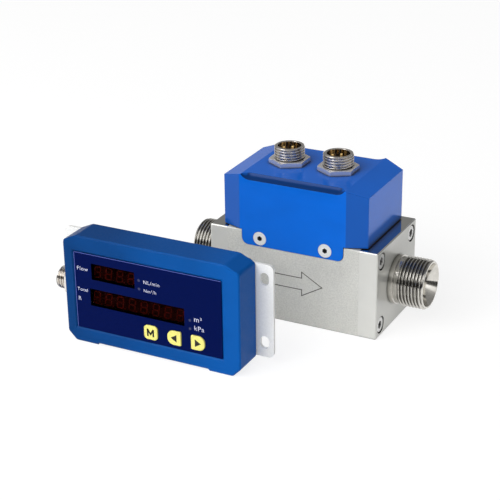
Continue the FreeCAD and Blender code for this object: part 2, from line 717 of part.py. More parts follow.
def make_cover_screw(x, side):
    wide = TAB_SCREW_HEAD_DIAMETER / 2
    narrow = TAB_SCREW_DIAMETER / 2
    inward = V(0, -side, 0)
    face = V(x, side * (COVER_DEPTH / 2 - TAB_SCREW_SINK), TAB_SCREW_Z)
    tip = V(x, side * (COVER_DEPTH / 2 - TAB_SCREW_LENGTH), TAB_SCREW_Z)
    neck = face + inward * (wide - narrow)
    cone = Part.makeCone(wide, narrow, wide - narrow, face, inward)
    shank = rod(tip, neck, TAB_SCREW_DIAMETER)
    floor = face + inward * TAB_SCREW_SOCKET_DEPTH
    socket = hexagon(floor, TAB_SCREW_SOCKET_WIDTH, TAB_SCREW_DIAMETER, Y_AXIS * side, Z_AXIS)
    return cone.fuse(shank).removeSplitter().cut(socket)


def make_gasket():
    sheet = outline_prism(cover_outline(COVER_GASKET_INSET), BODY_HEIGHT, COVER_BOTTOM)
    limit = TAB_INNER - SNUG_CLEARANCE
    low = BODY_HEIGHT - OVERRUN
    high = COVER_BOTTOM + OVERRUN
    sheet = sheet.common(box(-COVER_LENGTH, COVER_LENGTH, -limit, limit, low, high))
    return sheet.cut(cavity_prism(low, high))


# Signal board

def board_hole_places():
    half_x = BOARD_HOLE_SPACING_X / 2
    half_y = BOARD_HOLE_SPACING_Y / 2
    return [(sx * half_x, sy * half_y) for sx in (-1, 1) for sy in (-1, 1)]


def make_board():
    half_x = BOARD_LENGTH / 2
    half_y = BOARD_DEPTH / 2
    board = box(-half_x, half_x, -half_y, half_y, BOARD_BOTTOM, BOARD_TOP)
    low = BOARD_BOTTOM - OVERRUN
    high = BOARD_TOP + OVERRUN
    diameter = BOARD_SCREW_DIAMETER + SNUG_CLEARANCE
    return board.cut([rod(V(x, y, low), V(x, y, high), diameter) for x, y in board_hole_places()])


def make_standoff(x, y):
    base = V(x, y, BODY_HEIGHT)
    top = V(x, y, BOARD_BOTTOM)
    post = hexagon(base, STANDOFF_WIDTH, BOARD_STANDOFF, Z_AXIS, X_AXIS)
    stud = rod(base - Z_AXIS * STANDOFF_STUD_LENGTH, base, BOARD_SCREW_DIAMETER)
    bore = rod(top - Z_AXIS * (BOARD_SCREW_REACH + HOLE_RUNOUT), top, BOARD_SCREW_DIAMETER)
    return post.fuse(stud).removeSplitter().cut(bore)


def make_board_screw(x, y):
    seat = V(x, y, BOARD_TOP)
    top = BOARD_TOP + BOARD_SCREW_HEAD_HEIGHT
    head = rod(seat, V(x, y, top), BOARD_SCREW_HEAD_DIAMETER)
    half_length = BOARD_SCREW_HEAD_DIAMETER / 2 + OVERRUN
    half_width = BOARD_SCREW_SLOT_WIDTH / 2
    slot = box(x - half_length, x + half_length, y - half_width, y + half_width,
               top - BOARD_SCREW_SLOT_DEPTH, top + OVERRUN)
    shank = rod(V(x, y, BOARD_BOTTOM - BOARD_SCREW_REACH), seat, BOARD_SCREW_DIAMETER)
    return head.cut(slot).fuse(shank).removeSplitter()


def make_processor():
    half = PROCESSOR_WIDTH / 2
    return box(-half, half, -half, half, BOARD_TOP, BOARD_TOP + PROCESSOR_HEIGHT)


def make_terminal(x):
    half = TERMINAL_LENGTH / 2
    wall = TERMINAL_WALL
    back = BOARD_DEPTH / 2 - TERMINAL_INSET
    front = back - TERMINAL_DEPTH
    top = BOARD_TOP + TERMINAL_HEIGHT
    body = box(x - half, x + half, front, back, BOARD_TOP, top)
    pocket = box(x - half + wall, x + half - wall, front + wall, back - wall,
                 BOARD_TOP + wall, top + OVERRUN)
    return body.cut(pocket)


# Panel connectors, drawn along +Z with the outer face of their panel at the origin

TOP_CONNECTOR = {
    "diameter": CONNECTOR_DIAMETER,
    "reach": CONNECTOR_REACH,
    "panel": COVER_ROOF,
    "nut_width": CONNECTOR_NUT_WIDTH,
    "nut_thickness": CONNECTOR_NUT_THICKNESS,
    "nut_corner": Y_AXIS,
    "socket": CONNECTOR_SOCKET_DIAMETER,
    "socket_depth": CONNECTOR_SOCKET_DEPTH,
    "flange": CONNECTOR_FLANGE_DIAMETER,
    "flange_thickness": CONNECTOR_FLANGE_THICKNESS,
    "tail": CONNECTOR_TAIL,
    "pin": CONNECTOR_PIN_DIAMETER,
    "pin_circle": CONNECTOR_PIN_CIRCLE,
    "pin_recess": CONNECTOR_PIN_RECESS,
    "pin_tail": CONNECTOR_PIN_TAIL,
}

SIDE_CONNECTOR = {
    "diameter": SIDE_DIAMETER,
    "reach": SIDE_REACH,
    "panel": DISPLAY_WALL,
    "nut_width": SIDE_NUT_WIDTH,
    "nut_thickness": SIDE_NUT_THICKNESS,
    "nut_corner": X_AXIS,
    "socket": SIDE_SOCKET_DIAMETER,
    "socket_depth": SIDE_SOCKET_DEPTH,
    "flange": SIDE_FLANGE_DIAMETER,
    "flange_thickness": SIDE_FLANGE_THICKNESS,
    "tail": SIDE_TAIL,
    "pin": SIDE_PIN_DIAMETER,
    "pin_circle": SIDE_PIN_CIRCLE,
    "pin_recess": SIDE_PIN_RECESS,
    "pin_tail": SIDE_PIN_TAIL,
}


def upright(low, high, diameter, x=0.0, y=0.0):
    return rod(V(x, y, low), V(x, y, high), diameter)


def connector_back(sizes):
    return -sizes["panel"] - sizes["flange_thickness"] - sizes["tail"]


def make_shell(sizes):
    # barrel threaded above its nut, undercut where nut and panel sit, over a flange with two flats
    diameter = sizes["diameter"]
    reach = sizes["reach"]
    inside = -sizes["panel"]
    flange_back = inside - sizes["flange_thickness"]
    thread_start = sizes["nut_thickness"] + THREAD_LIFT
    thread = upright(thread_start, reach, diameter)
    thread = thread.makeChamfer(SMALL_EDGE, round_edges(thread, diameter, (Z_AXIS, reach)))
    root = upright(inside, thread_start, diameter - THREAD_UNDERCUT)
    flange = upright(flange_back, inside, sizes["flange"])
    flat = diameter / 2
    flange = flange.common(box(-sizes["flange"], sizes["flange"], -flat, flat, flange_back, inside))
    sleeve = upright(connector_back(sizes), inside, sizes["socket"] + 2 * SLEEVE_WALL)
    body = fuse_all([thread, root, flange, sleeve])
    return body.cut(upright(connector_back(sizes), reach, sizes["socket"]))


def pin_places(sizes):
    radius = sizes["pin_circle"] / 2
    angles = [math.radians(90 + 360 * i / PIN_COUNT) for i in range(PIN_COUNT)]
    return [(radius * math.cos(a), radius * math.sin(a)) for a in angles]


def make_insert(sizes):
    back = connector_back(sizes)
    front = sizes["reach"] - sizes["socket_depth"]
    disc = upright(back, front, sizes["socket"])
    return disc.cut([upright(back, front, sizes["pin"], x, y) for x, y in pin_places(sizes)])


def make_pin(sizes, x, y):
    # turned profile with a rounded tip
    low = connector_back(sizes) - sizes["pin_tail"]
    high = sizes["reach"] - sizes["pin_recess"]
    radius = sizes["pin"] / 2
    corners = [V(x, y, low), V(x + radius, y, low), V(x + radius, y, high), V(x, y, high)]
    profile = rounded_face(corners, [0, 0, radius * PIN_ROUND_SHARE, 0])
    return profile.revolve(V(x, y, 0), Z_AXIS, 360)


def make_nut(sizes):
    width = sizes["nut_width"]
    thickness = sizes["nut_thickness"]
    blank = hexagon(V(0, 0, 0), width, thickness, Z_AXIS, sizes["nut_corner"])
    top = width / 2 - NUT_BEVEL
    spread = thickness / math.tan(math.radians(NUT_BEVEL_ANGLE))
    blank = blank.common(Part.makeCone(top + spread, top, thickness))
    return blank.cut(upright(-OVERRUN, thickness + OVERRUN, sizes["diameter"] - THREAD_UNDERCUT))


def export_connector(name, sizes, place):
    pins = [make_pin(sizes, x, y) for x, y in pin_places(sizes)]
    groups = {
        "shell": [make_shell(sizes)],
        "nut": [make_nut(sizes)],
        "insert": [make_insert(sizes)],
        "pins": pins,
    }
    for piece, shapes in groups.items():
        for shape in shapes:
            shape.Placement = place.multiply(shape.Placement)
        export_group(name + "_" + piece, shapes)


# Display unit: u runs to the right from its middle, v inwards from its face, w upwards

def at(u, v, w):
    return V(DISPLAY_X + u, DISPLAY_FRONT + v, w)


def inward_rod(u, w, v0, v1, diameter):
    return rod(at(u, v0, w), at(u, v1, w), diameter)


def panel_box(u0, u1, v0, v1, w0, w1):
    return Part.makeBox(u1 - u0, v1 - v0, w1 - w0, at(u0, v0, w0))


def panel_plate(corners, radii, v0, v1):
    points = [at(u, v0, w) for u, w in corners]
    return rounded_face(points, radii).extrude(V(0, v1 - v0, 0))


def rectangle(left, right, bottom, top, grow=0.0):
    left -= grow
    right += grow
    bottom -= grow
    top += grow
    return [(left, bottom), (right, bottom), (right, top), (left, top)]


def mirrored(right_side):
    return right_side + [(-u, w) for u, w in reversed(right_side)]


def housing_outline():
    half = DISPLAY_WIDTH / 2
    low = DISPLAY_BOTTOM_CUT
    foot = half - low - DISPLAY_FOOT_LENGTH
    rise = DISPLAY_FOOT_HEIGHT
    top = DISPLAY_HEIGHT
    right = [(foot - rise, rise), (foot, 0), (half - low, 0), (half, low)]
    right += [(half, top - DISPLAY_TOP_CUT_Z), (half - DISPLAY_TOP_CUT_X, top)]
    corner = DISPLAY_CORNER_RADIUS
    radii = [0, 0, corner, corner, corner, DISPLAY_TOP_RADIUS]
    return mirrored(right), radii + radii[::-1]


def cavity_plate(v0, v1):
    # the hollow of the housing leaves a block in each corner for the bracket screws
    half = DISPLAY_WIDTH / 2 - DISPLAY_WALL
    bottom = DISPLAY_WALL + DISPLAY_FOOT_HEIGHT
    top = DISPLAY_HEIGHT - DISPLAY_WALL
    block = DISPLAY_CORNER_BLOCK
    inner = DISPLAY_WIDTH / 2 - block
    right = [(inner, bottom), (inner, block + bottom), (half, block + bottom)]
    right += [(half, top - block), (inner, top - block), (inner, top)]
    corners = mirrored(right)
    return panel_plate(corners, [0] * len(corners), v0, v1)


def flow_window(grow):
    right = WINDOW_FLOW_LEFT + WINDOW_FLOW_WIDTH
    top = WINDOW_FLOW_BOTTOM + WINDOW_FLOW_HEIGHT
    return rectangle(WINDOW_FLOW_LEFT, right, WINDOW_FLOW_BOTTOM, top, grow)


def total_window(grow):
    right = WINDOW_TOTAL_LEFT + WINDOW_TOTAL_WIDTH
    top = WINDOW_TOTAL_BOTTOM + WINDOW_TOTAL_HEIGHT
    return rectangle(WINDOW_TOTAL_LEFT, right, WINDOW_TOTAL_BOTTOM, top, grow)


def key_places():
    left_rounds = [KEY_BIG_ROUND, KEY_SMALL_ROUND, KEY_SMALL_ROUND, KEY_BIG_ROUND]
    right_rounds = [KEY_SMALL_ROUND, KEY_BIG_ROUND, KEY_BIG_ROUND, KEY_SMALL_ROUND]
    return [
        ("key_mode", KEY_RIGHT_U - 2 * KEY_PITCH, [KEY_ROUND] * 4),
        ("key_left", KEY_RIGHT_U - KEY_PITCH, left_rounds),
        ("key_right", KEY_RIGHT_U, right_rounds),
    ]


def key_plate(u, rounds, grow, v0, v1):
    half = KEY_SIZE / 2
    corners = rectangle(u - half, u + half, KEY_HEIGHT - half, KEY_HEIGHT + half, grow)
    return panel_plate(corners, [r + grow for r in rounds], v0, v1)


def lamp_places():
    flow_u = WINDOW_FLOW_LEFT + WINDOW_FLOW_WIDTH + LAMP_FLOW_GAP
    flow_w = WINDOW_FLOW_BOTTOM + LAMP_FLOW_RISE
    total_u = WINDOW_TOTAL_LEFT + WINDOW_TOTAL_WIDTH + LAMP_TOTAL_GAP
    total_w = WINDOW_TOTAL_BOTTOM + LAMP_TOTAL_RISE
    places = [(flow_u, flow_w), (flow_u, flow_w - LAMP_PITCH)]
    return places + [(total_u, total_w), (total_u, total_w - LAMP_PITCH)]


def front_openings():
    # cutters for windows, keys and lamps, right through the face
    v0 = -OVERRUN
    v1 = DISPLAY_FACE + OVERRUN
    tools = [panel_plate(flow_window(0), [WINDOW_RADIUS] * 4, v0, v1)]
    tools.append(panel_plate(total_window(0), [WINDOW_RADIUS] * 4, v0, v1))
    for name, u, rounds in key_places():
        tools.append(key_plate(u, rounds, KEY_GAP, v0, v1))
    for u, w in lamp_places():
        tools.append(inward_rod(u, w, v0, v1, LAMP_DIAMETER))
    return tools


def panel_corners(grow):
    return rectangle(PANEL_LEFT, PANEL_RIGHT, PANEL_MARGIN_BOTTOM, PANEL_TOP, grow)


def panel_recess():
    # flat pocket for the sheet with a bevel round its edge
    radius = PANEL_CORNER_RADIUS + PANEL_GAP
    pocket = panel_plate(panel_corners(PANEL_GAP), [radius] * 4, -OVERRUN, PANEL_SINK)
    wide = [at(u, 0, w) for u, w in panel_corners(PANEL_BEVEL)]
    narrow = [at(u, PANEL_SINK, w) for u, w in panel_corners(PANEL_GAP)]
    rim = Part.makeLoft([
        Part.makePolygon(wide + [wide[0]]),
        Part.makePolygon(narrow + [narrow[0]]),
    ], True, True)
    return [pocket, rim]


def boss_places():
    u = DISPLAY_BOARD_HALF - DISPLAY_BOSS_INSET
    low = DISPLAY_BOARD_BOTTOM + DISPLAY_BOSS_INSET
    high = DISPLAY_BOARD_TOP - DISPLAY_BOSS_INSET
    return [(su * u, w) for su in (-1, 1) for w in (low, high)]


def bracket_screw_places():
    u = DISPLAY_WIDTH / 2 - BRACKET_SCREW_INSET
    low = BRACKET_MARGIN_BOTTOM + BRACKET_SCREW_RISE
    high = BRACKET_TOP - BRACKET_SCREW_RISE
    return [(su * u, w) for su in (-1, 1) for w in (low, high)]


def bracket_screw_holes():
    v0 = DISPLAY_DEPTH - OVERRUN
    v1 = BRACKET_BACK + OVERRUN
    diameter = BRACKET_SCREW_DIAMETER + HOLE_CLEARANCE
    return [inward_rod(u, w, v0, v1, diameter) for u, w in bracket_screw_places()]


def make_housing():
    corners, radii = housing_outline()
    body = panel_plate(corners, radii, 0, DISPLAY_DEPTH)
    front = [e for e in body.Edges if abs(e.BoundBox.YMax - DISPLAY_FRONT) < 0.01]
    body = body.makeChamfer(DISPLAY_EDGE, front)
    body = body.cut(cavity_plate(DISPLAY_FACE, DISPLAY_DEPTH + OVERRUN))
    posts = []
    for u, w in boss_places():
        posts.append(inward_rod(u, w, DISPLAY_FACE, DISPLAY_BOARD_SETBACK, DISPLAY_BOSS_DIAMETER))
    body = fuse_all([body] + posts)
    tools = panel_recess() + front_openings()
    hole_floor = DISPLAY_FACE + DISPLAY_SCREW_STANDOFF / 2
    for u, w in boss_places():
        past = DISPLAY_BOARD_SETBACK + OVERRUN
        tools.append(inward_rod(u, w, hole_floor, past, DISPLAY_SCREW_DIAMETER))
    for u, w in bracket_screw_places():
        floor = DISPLAY_DEPTH - BRACKET_SCREW_REACH - HOLE_RUNOUT
        tools.append(inward_rod(u, w, floor, DISPLAY_DEPTH + OVERRUN, BRACKET_SCREW_DIAMETER))
    side = -DISPLAY_WIDTH / 2
    outside = at(side - OVERRUN, SIDE_SETBACK, SIDE_HEIGHT)
    inside = at(side + DISPLAY_WALL + OVERRUN, SIDE_SETBACK, SIDE_HEIGHT)
    tools.append(rod(outside, inside, SIDE_DIAMETER + SNUG_CLEARANCE))
    return body.cut(tools)


def make_panel_sheet():
    radii = [PANEL_CORNER_RADIUS] * 4
    sheet = panel_plate(panel_corners(0), radii, PANEL_SINK - PANEL_THICKNESS, PANEL_SINK)
    return sheet.cut(front_openings())


def make_pane(window):
    pane = panel_plate(window(0), [WINDOW_RADIUS] * 4, WINDOW_SINK, DISPLAY_FACE)
    flange = panel_plate(window(FLANGE_WIDTH), [WINDOW_RADIUS] * 4, DISPLAY_FACE, PANE_BACK)
    return pane.fuse(flange).removeSplitter()


def make_key(u, rounds):
    cap = key_plate(u, rounds, 0, -KEY_RAISE, DISPLAY_FACE)
    front = [e for e in cap.Edges if abs(e.BoundBox.YMax - DISPLAY_FRONT + KEY_RAISE) < 0.01]
    cap = cap.makeChamfer(KEY_EDGE, front)
    flange = key_plate(u, rounds, FLANGE_WIDTH, DISPLAY_FACE, PANE_BACK)
    stem = inward_rod(u, KEY_HEIGHT, PANE_BACK, SWITCH_FRONT + KEY_STEM_ENTRY, KEY_STEM_DIAMETER)
    return fuse_all([cap, flange, stem])


def make_switch(u):
    half = SWITCH_SIZE / 2
    body = panel_box(u - half, u + half, SWITCH_FRONT, DISPLAY_BOARD_SETBACK,
                     KEY_HEIGHT - half, KEY_HEIGHT + half)
    floor = SWITCH_FRONT + KEY_STEM_ENTRY + KEY_TRAVEL + KEY_OVERTRAVEL
    diameter = KEY_STEM_DIAMETER + SNUG_CLEARANCE
    return body.cut(inward_rod(u, KEY_HEIGHT, SWITCH_FRONT - OVERRUN, floor, diameter))


def make_digits(window):
    return panel_plate(window(DIGITS_LAP), [0] * 4, PANE_BACK, DISPLAY_BOARD_SETBACK)


def make_lamp(u, w):
    return inward_rod(u, w, WINDOW_SINK, DISPLAY_BOARD_SETBACK, LAMP_DIAMETER)


def make_display_board():
    board = panel_box(-DISPLAY_BOARD_HALF, DISPLAY_BOARD_HALF, DISPLAY_BOARD_SETBACK,
                      DISPLAY_BOARD_BACK, DISPLAY_BOARD_BOTTOM, DISPLAY_BOARD_TOP)
    tools = []
    for u, w in boss_places():
        v0 = DISPLAY_BOARD_SETBACK - OVERRUN
        v1 = DISPLAY_BOARD_BACK + OVERRUN
        tools.append(inward_rod(u, w, v0, v1, DISPLAY_SCREW_DIAMETER + SNUG_CLEARANCE))
    return board.cut(tools)


def make_display_screw(u, w):
    back = DISPLAY_BOARD_BACK
    head = inward_rod(u, w, back, back + DISPLAY_SCREW_HEAD_HEIGHT, DISPLAY_SCREW_HEAD_DIAMETER)
    shank = inward_rod(u, w, DISPLAY_FACE + DISPLAY_SCREW_STANDOFF, back, DISPLAY_SCREW_DIAMETER)
    return head.fuse(shank).removeSplitter()


def bracket_slot(u, w):
    half_width = BRACKET_SLOT_WIDTH / 2
    run = (BRACKET_SLOT_LENGTH - BRACKET_SLOT_WIDTH) / 2
    v0 = BRACKET_FRONT - OVERRUN
    v1 = BRACKET_BACK + OVERRUN
    middle = panel_box(u - half_width, u + half_width, v0, v1, w - run, w + run)
    ends = [inward_rod(u, w + s * run, v0, v1, BRACKET_SLOT_WIDTH) for s in (-1, 1)]
    return fuse_all([middle] + ends)


def make_bracket():
    half = DISPLAY_WIDTH / 2 + BRACKET_EAR
    corners = rectangle(-half, half, BRACKET_MARGIN_BOTTOM, BRACKET_TOP)
    plate = panel_plate(corners, [BRACKET_CORNER] * 4, BRACKET_FRONT, BRACKET_BACK)
    middle = (BRACKET_MARGIN_BOTTOM + BRACKET_TOP) / 2
    slot_u = half - BRACKET_SLOT_INSET
    tools = bracket_screw_holes()
    for u in (-slot_u, slot_u):
        for w in (-BRACKET_SLOT_SPACING / 2, BRACKET_SLOT_SPACING / 2):
            tools.append(bracket_slot(u, middle + w))
    return plate.cut(tools)


def make_rear_gasket():
    half = DISPLAY_WIDTH / 2 - REAR_GASKET_INSET
    bottom = BRACKET_MARGIN_BOTTOM - REAR_GASKET_LAP
    corners = rectangle(-half, half, bottom, BRACKET_TOP + REAR_GASKET_LAP)
    sheet = panel_plate(corners, [BRACKET_CORNER] * 4, DISPLAY_DEPTH, BRACKET_FRONT)
    cavity = cavity_plate(DISPLAY_DEPTH - OVERRUN, BRACKET_FRONT + OVERRUN)
    return sheet.cut([cavity] + bracket_screw_holes())


def make_bracket_screw(u, w):
    top = BRACKET_BACK + BRACKET_SCREW_HEAD_HEIGHT
    head = inward_rod(u, w, BRACKET_BACK, top, BRACKET_SCREW_HEAD_DIAMETER)
    rim = round_edges(head, BRACKET_SCREW_HEAD_DIAMETER, (Y_AXIS, DISPLAY_FRONT + top))
    head = head.makeFillet(BRACKET_SCREW_HEAD_ROUND, rim)
    tip = DISPLAY_DEPTH - BRACKET_SCREW_REACH
    shank = inward_rod(u, w, tip, BRACKET_BACK, BRACKET_SCREW_DIAMETER)
    long_half = BRACKET_SCREW_CROSS_LENGTH / 2
    thin_half = BRACKET_SCREW_CROSS_WIDTH / 2
    floor = top - BRACKET_SCREW_CROSS_DEPTH
    past = top + OVERRUN
    across = panel_box(u - long_half, u + long_half, floor, past, w - thin_half, w + thin_half)
    upwards = panel_box(u - thin_half, u + thin_half, floor, past, w - long_half, w + long_half)
    return head.fuse(shank).removeSplitter().cut([across, upwards])


# Write every piece

export("flow_block", make_block())
for end, side in (("inlet", -1), ("outlet", 1)):
    export("plate_" + end, make_plate(side))
    export("port_" + end, make_port(side))
    export("plate_seal_" + end, make_face_seal(side))
    export("transducer_" + end, make_transducer(side))
    export("transducer_seal_" + end, make_transducer_seal(side))
    export("retainer_" + end, make_retainer(side))
    screws = [make_plate_screw(side, y, z) for y, z in plate_screw_places()]
    export_group("plate_screws_" + end, screws)

export("temperature_probe", make_probe())
export("pressure_sensor", make_pressure_sensor())
export("cover", make_cover())
export("cover_gasket", make_gasket())
cover_screws = [make_cover_screw(x, side) for x in (-TAB_SCREW_X, TAB_SCREW_X) for side in (-1, 1)]
export_group("cover_screws", cover_screws)

export("signal_board", make_board())
export("signal_processor", make_processor())
export_group("board_terminals", [make_terminal(s * TERMINAL_SPACING / 2) for s in (-1, 1)])
export_group("board_standoffs", [make_standoff(x, y) for x, y in board_hole_places()])
export_group("board_screws", [make_board_screw(x, y) for x, y in board_hole_places()])

for name, side in (("connector_left", -1), ("connector_right", 1)):
    place = FreeCAD.Placement(V(side * CONNECTOR_SPACING / 2, 0, COVER_TOP), FreeCAD.Rotation())
    export_connector(name, TOP_CONNECTOR, place)

export("display_housing", make_housing())
export("display_panel", make_panel_sheet())
export("window_flow", make_pane(flow_window))
export("window_total", make_pane(total_window))
for name, u, rounds in key_places():
    export(name, make_key(u, rounds))
export_group("key_switches", [make_switch(u) for name, u, rounds in key_places()])
export("digits_flow", make_digits(flow_window))
export("digits_total", make_digits(total_window))
export_group("unit_lamps", [make_lamp(u, w) for u, w in lamp_places()])
export("display_board", make_display_board())
export_group("display_board_screws", [make_display_screw(u, w) for u, w in boss_places()])
export("bracket_plate", make_bracket())
export("rear_gasket", make_rear_gasket())
export_group("bracket_screws", [make_bracket_screw(u, w) for u, w in bracket_screw_places()])

side_turn = FreeCAD.Rotation(Z_AXIS, X_AXIS * -1)
side_place = V(DISPLAY_LEFT, DISPLAY_FRONT + SIDE_SETBACK, SIDE_HEIGHT)
export_connector("side_connector", SIDE_CONNECTOR, FreeCAD.Placement(side_place, side_turn))
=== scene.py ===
import json
import math

import bmesh
import bpy
from mathutils import Matrix, Vector


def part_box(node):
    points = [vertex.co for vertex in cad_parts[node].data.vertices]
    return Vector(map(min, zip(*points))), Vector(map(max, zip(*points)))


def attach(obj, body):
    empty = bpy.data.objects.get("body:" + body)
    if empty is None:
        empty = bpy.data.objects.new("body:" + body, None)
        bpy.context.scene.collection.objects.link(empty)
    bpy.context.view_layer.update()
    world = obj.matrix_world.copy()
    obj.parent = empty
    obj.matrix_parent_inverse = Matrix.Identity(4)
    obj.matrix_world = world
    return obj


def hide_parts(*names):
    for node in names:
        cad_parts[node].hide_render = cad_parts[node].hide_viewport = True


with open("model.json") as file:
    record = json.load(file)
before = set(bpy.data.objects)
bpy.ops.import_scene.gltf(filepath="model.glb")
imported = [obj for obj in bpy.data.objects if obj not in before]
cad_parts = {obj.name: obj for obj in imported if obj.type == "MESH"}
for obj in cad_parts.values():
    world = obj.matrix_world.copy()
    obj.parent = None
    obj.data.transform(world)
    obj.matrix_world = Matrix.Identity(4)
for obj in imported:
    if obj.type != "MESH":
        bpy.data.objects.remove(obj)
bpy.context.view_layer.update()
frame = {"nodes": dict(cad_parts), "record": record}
nodes = frame["nodes"]
mounts = {mount["name"]: mount for mount in frame["record"]["mounts"]}

MM = 0.001
X_AXIS = Vector((1, 0, 0))
Y_AXIS = Vector((0, 1, 0))
Z_AXIS = Vector((0, 0, 1))

# Camera, matched to corners of the object in the photograph
CAMERA_TARGET = Vector((-37.924, 0.0, 23.998)) * MM
CAMERA_AZIMUTH = math.radians(27.343)
CAMERA_ELEVATION = math.radians(23.703)
CAMERA_ROLL = math.radians(-0.768)
CAMERA_DISTANCE = 792.863 * MM
CAMERA_LENS = 104.71
CAMERA_SENSOR = 36.0

# Broken edges of the pieces, and the angle from which an edge counts as sharp
EDGE_RADIUS = 0.25 * MM
SHARP_ANGLE = math.radians(30)

# Threads: pitch and depth of groove
PORT_PITCH = 1.814 * MM
PORT_GROOVE = 1.1 * MM
CONNECTOR_PITCH = 1.5 * MM
CONNECTOR_GROOVE = 0.8 * MM
THREAD_STEPS = 12
TURN_STEPS = 120

# Hex nuts: slope and width of the chamfer, land left on the flats, rows of the chamfer
NUT_SLOPE = math.radians(14)
NUT_LAND = 0.1 * MM
NUT_FACE = 0.5 * MM
NUT_ROWS = 8
NUT_CLEARANCE = 0.2 * MM
NUT_SHARP = math.radians(9)

# Panel connectors: name, axis of the thread, direction of a corner of the nut
CONNECTORS = [
    ("connector_left", Z_AXIS, Y_AXIS),
    ("connector_right", Z_AXIS, Y_AXIS),
    ("side_connector", -X_AXIS, Z_AXIS),
]
BARREL_LEAD = 0.4 * MM

# Smallest step that still counts as a distance
TINY = 0.001 * MM

# Port profile, from the plate face outwards
PORT_COLLAR_RADIUS = 13.0 * MM
PORT_COLLAR_LENGTH = 2.6 * MM
PORT_STEP = 0.3 * MM
PORT_NECK_RADIUS = 12.4 * MM
PORT_THREAD_START = 4.8 * MM
PORT_LEAD_LENGTH = 1.2 * MM
PORT_LEAD_HEIGHT = 0.9 * MM
PORT_RIM_WIDTH = 1.7 * MM
PORT_CONE_DEPTH = 7.0 * MM
PORT_SPIGOT_RADIUS = 11.0 * MM
PORT_BORE_RADIUS = 8.0 * MM

# Flow arrow: an outline cut into the front of the block, drawn as a thin dark line printed on its
# face
ARROW_TAIL_X = -12.0 * MM
ARROW_BARB_X = 5.6 * MM
ARROW_TIP_X = 17.1 * MM
ARROW_MIDDLE = -0.5 * MM
ARROW_SHAFT = 3.3 * MM
ARROW_BARB = 6.7 * MM
ARROW_LINE = 0.48 * MM
PRINT_THICKNESS = 0.012 * MM

# Seven segment digits behind the windows: depth below the face of their module, shift down and
# to the left, middle of a digit in its field, share of the field, slant, decimal dot
DIGIT_SETBACK = 0.05 * MM
DIGIT_DROP = 1.05 * MM
DIGIT_SHIFT = 0.75 * MM
DIGIT_MIDDLE = 0.47
DIGIT_HEIGHT_SHARE = 0.6
DIGIT_WIDTH_SHARE = 0.5
DIGIT_SLANT = math.tan(math.radians(8))
SEGMENT_WIDTH = 0.75 * MM
SEGMENT_GAP = 0.12 * MM
DOT_OFFSET = 1.6 * SEGMENT_WIDTH
DOT_SIDES = 8

# Black mask round each window, painted highlight along the edge of the panel film, symbols on the
# keys
MASK_WIDTH = 0.6 * MM
EDGE_INSET = 0.1 * MM
EDGE_WIDTH = 0.3 * MM
SYMBOL_SIZE = 4.1 * MM
SYMBOL_STROKE = 0.95 * MM
MODE_VALLEY = 0.35
TRIANGLE_TIP = 0.9
TRIANGLE_BASE = 0.75
KEY_RECESS = 0.03 * MM

# Lettering on the panel: text, left end and baseline from the panel's lower left corner, width
LETTER_SPACING = 1.14
LABELS = [
    ("label_flow", "Flow", 1.7, 32.2, 6.4),
    ("label_total", "Total", 1.2, 20.7, 6.1),
    ("label_reset", "R", 1.6, 15.4, 1.6),
    ("label_litres", "NL/min", 40.5, 31.9, 9.0),
    ("label_hourly", "Nm³/h", 40.5, 27.4, 7.0),
    ("label_volume", "m³", 68.6, 17.2, 4.2),
    ("label_pressure", "kPa", 68.6, 12.5, 5.4),
]

# Floor: half its side, grey tone, glow, and how much of the glow the camera and mirrors see
FLOOR_HALF = 3.0
FLOOR_TONE = 0.86
FLOOR_GLOW = 1.19
FLOOR_SHARE = 0.68

# Studio round the object, by unit direction: pairs of height and brightness in front and behind,
# the stretch of Y over which front turns to rear, and the stretch of X over which the strength
# falls from its left to its right value
FRONT_LEVELS = [(0.0, 0.03), (0.36, 0.06), (0.5, 1.0), (0.66, 0.85), (0.82, 0.35), (1.0, 0.2)]
REAR_LEVELS = [(0.0, 0.3), (0.3, 0.16), (0.7, 0.18), (1.0, 0.2)]
FRONT_TO_REAR = (-0.5, 0.3)
LEFT_TO_RIGHT = (0.3, 0.85)
LEFT_STRENGTH = 1.5
RIGHT_STRENGTH = 0.5

# Lamps: name, place, size, power, and whether mirrors show the lamp itself
LAMPS = [
    ("key", (-0.62, -0.82, 1.1), 0.9, 4.9, True),
    ("front", (-0.26, -1.28, 0.74), 1.2, 10.8, False),
    ("fill", (1.3, -0.3, 0.5), 0.9, 0.9, True),
]


# Meshes

def add_object(name, mesh):
    made = bpy.data.objects.new(name, mesh)
    bpy.context.scene.collection.objects.link(made)
    return made


def thread_radius(mount):
    return mounts[mount]["dims"]["r_mm"] * MM


def mesh_object(name, points, faces):
    mesh = bpy.data.meshes.new(name)
    mesh.from_pydata([tuple(p) for p in points], [], faces)
    mesh.update()
    return add_object(name, mesh)


def smooth_with_creases(mesh, angle=SHARP_ANGLE):
    shaped = bmesh.new()
    shaped.from_mesh(mesh)
    bmesh.ops.recalc_face_normals(shaped, faces=shaped.faces)
    for face in shaped.faces:
        face.smooth = True
    for edge in shaped.edges:
        edge.smooth = len(edge.link_faces) == 2 and edge.calc_face_angle() < angle
    shaped.to_mesh(mesh)
    shaped.free()


def place_on_axis(origin, axis):
    # turns local +Z to the given axis and moves the local origin to the given point
    return Matrix.Translation(origin) @ axis.to_track_quat("Z", "Y").to_matrix().to_4x4()


def outline_radius(profile, along):
    for (start, low), (end, high) in zip(profile, profile[1:]):
        if start <= along <= end:
            share = (along - start) / (end - start)
            return low + (high - low) * share
    return profile[-1][1]


def groove(turns):
    # 1 at the bottom of a thread's groove, 0 on its crest
    crest = 0.82
    root = 0.22
    height = abs(2 * (turns % 1.0) - 1)
    return min(1.0, max(0.0, (crest - height) / (crest - root)))


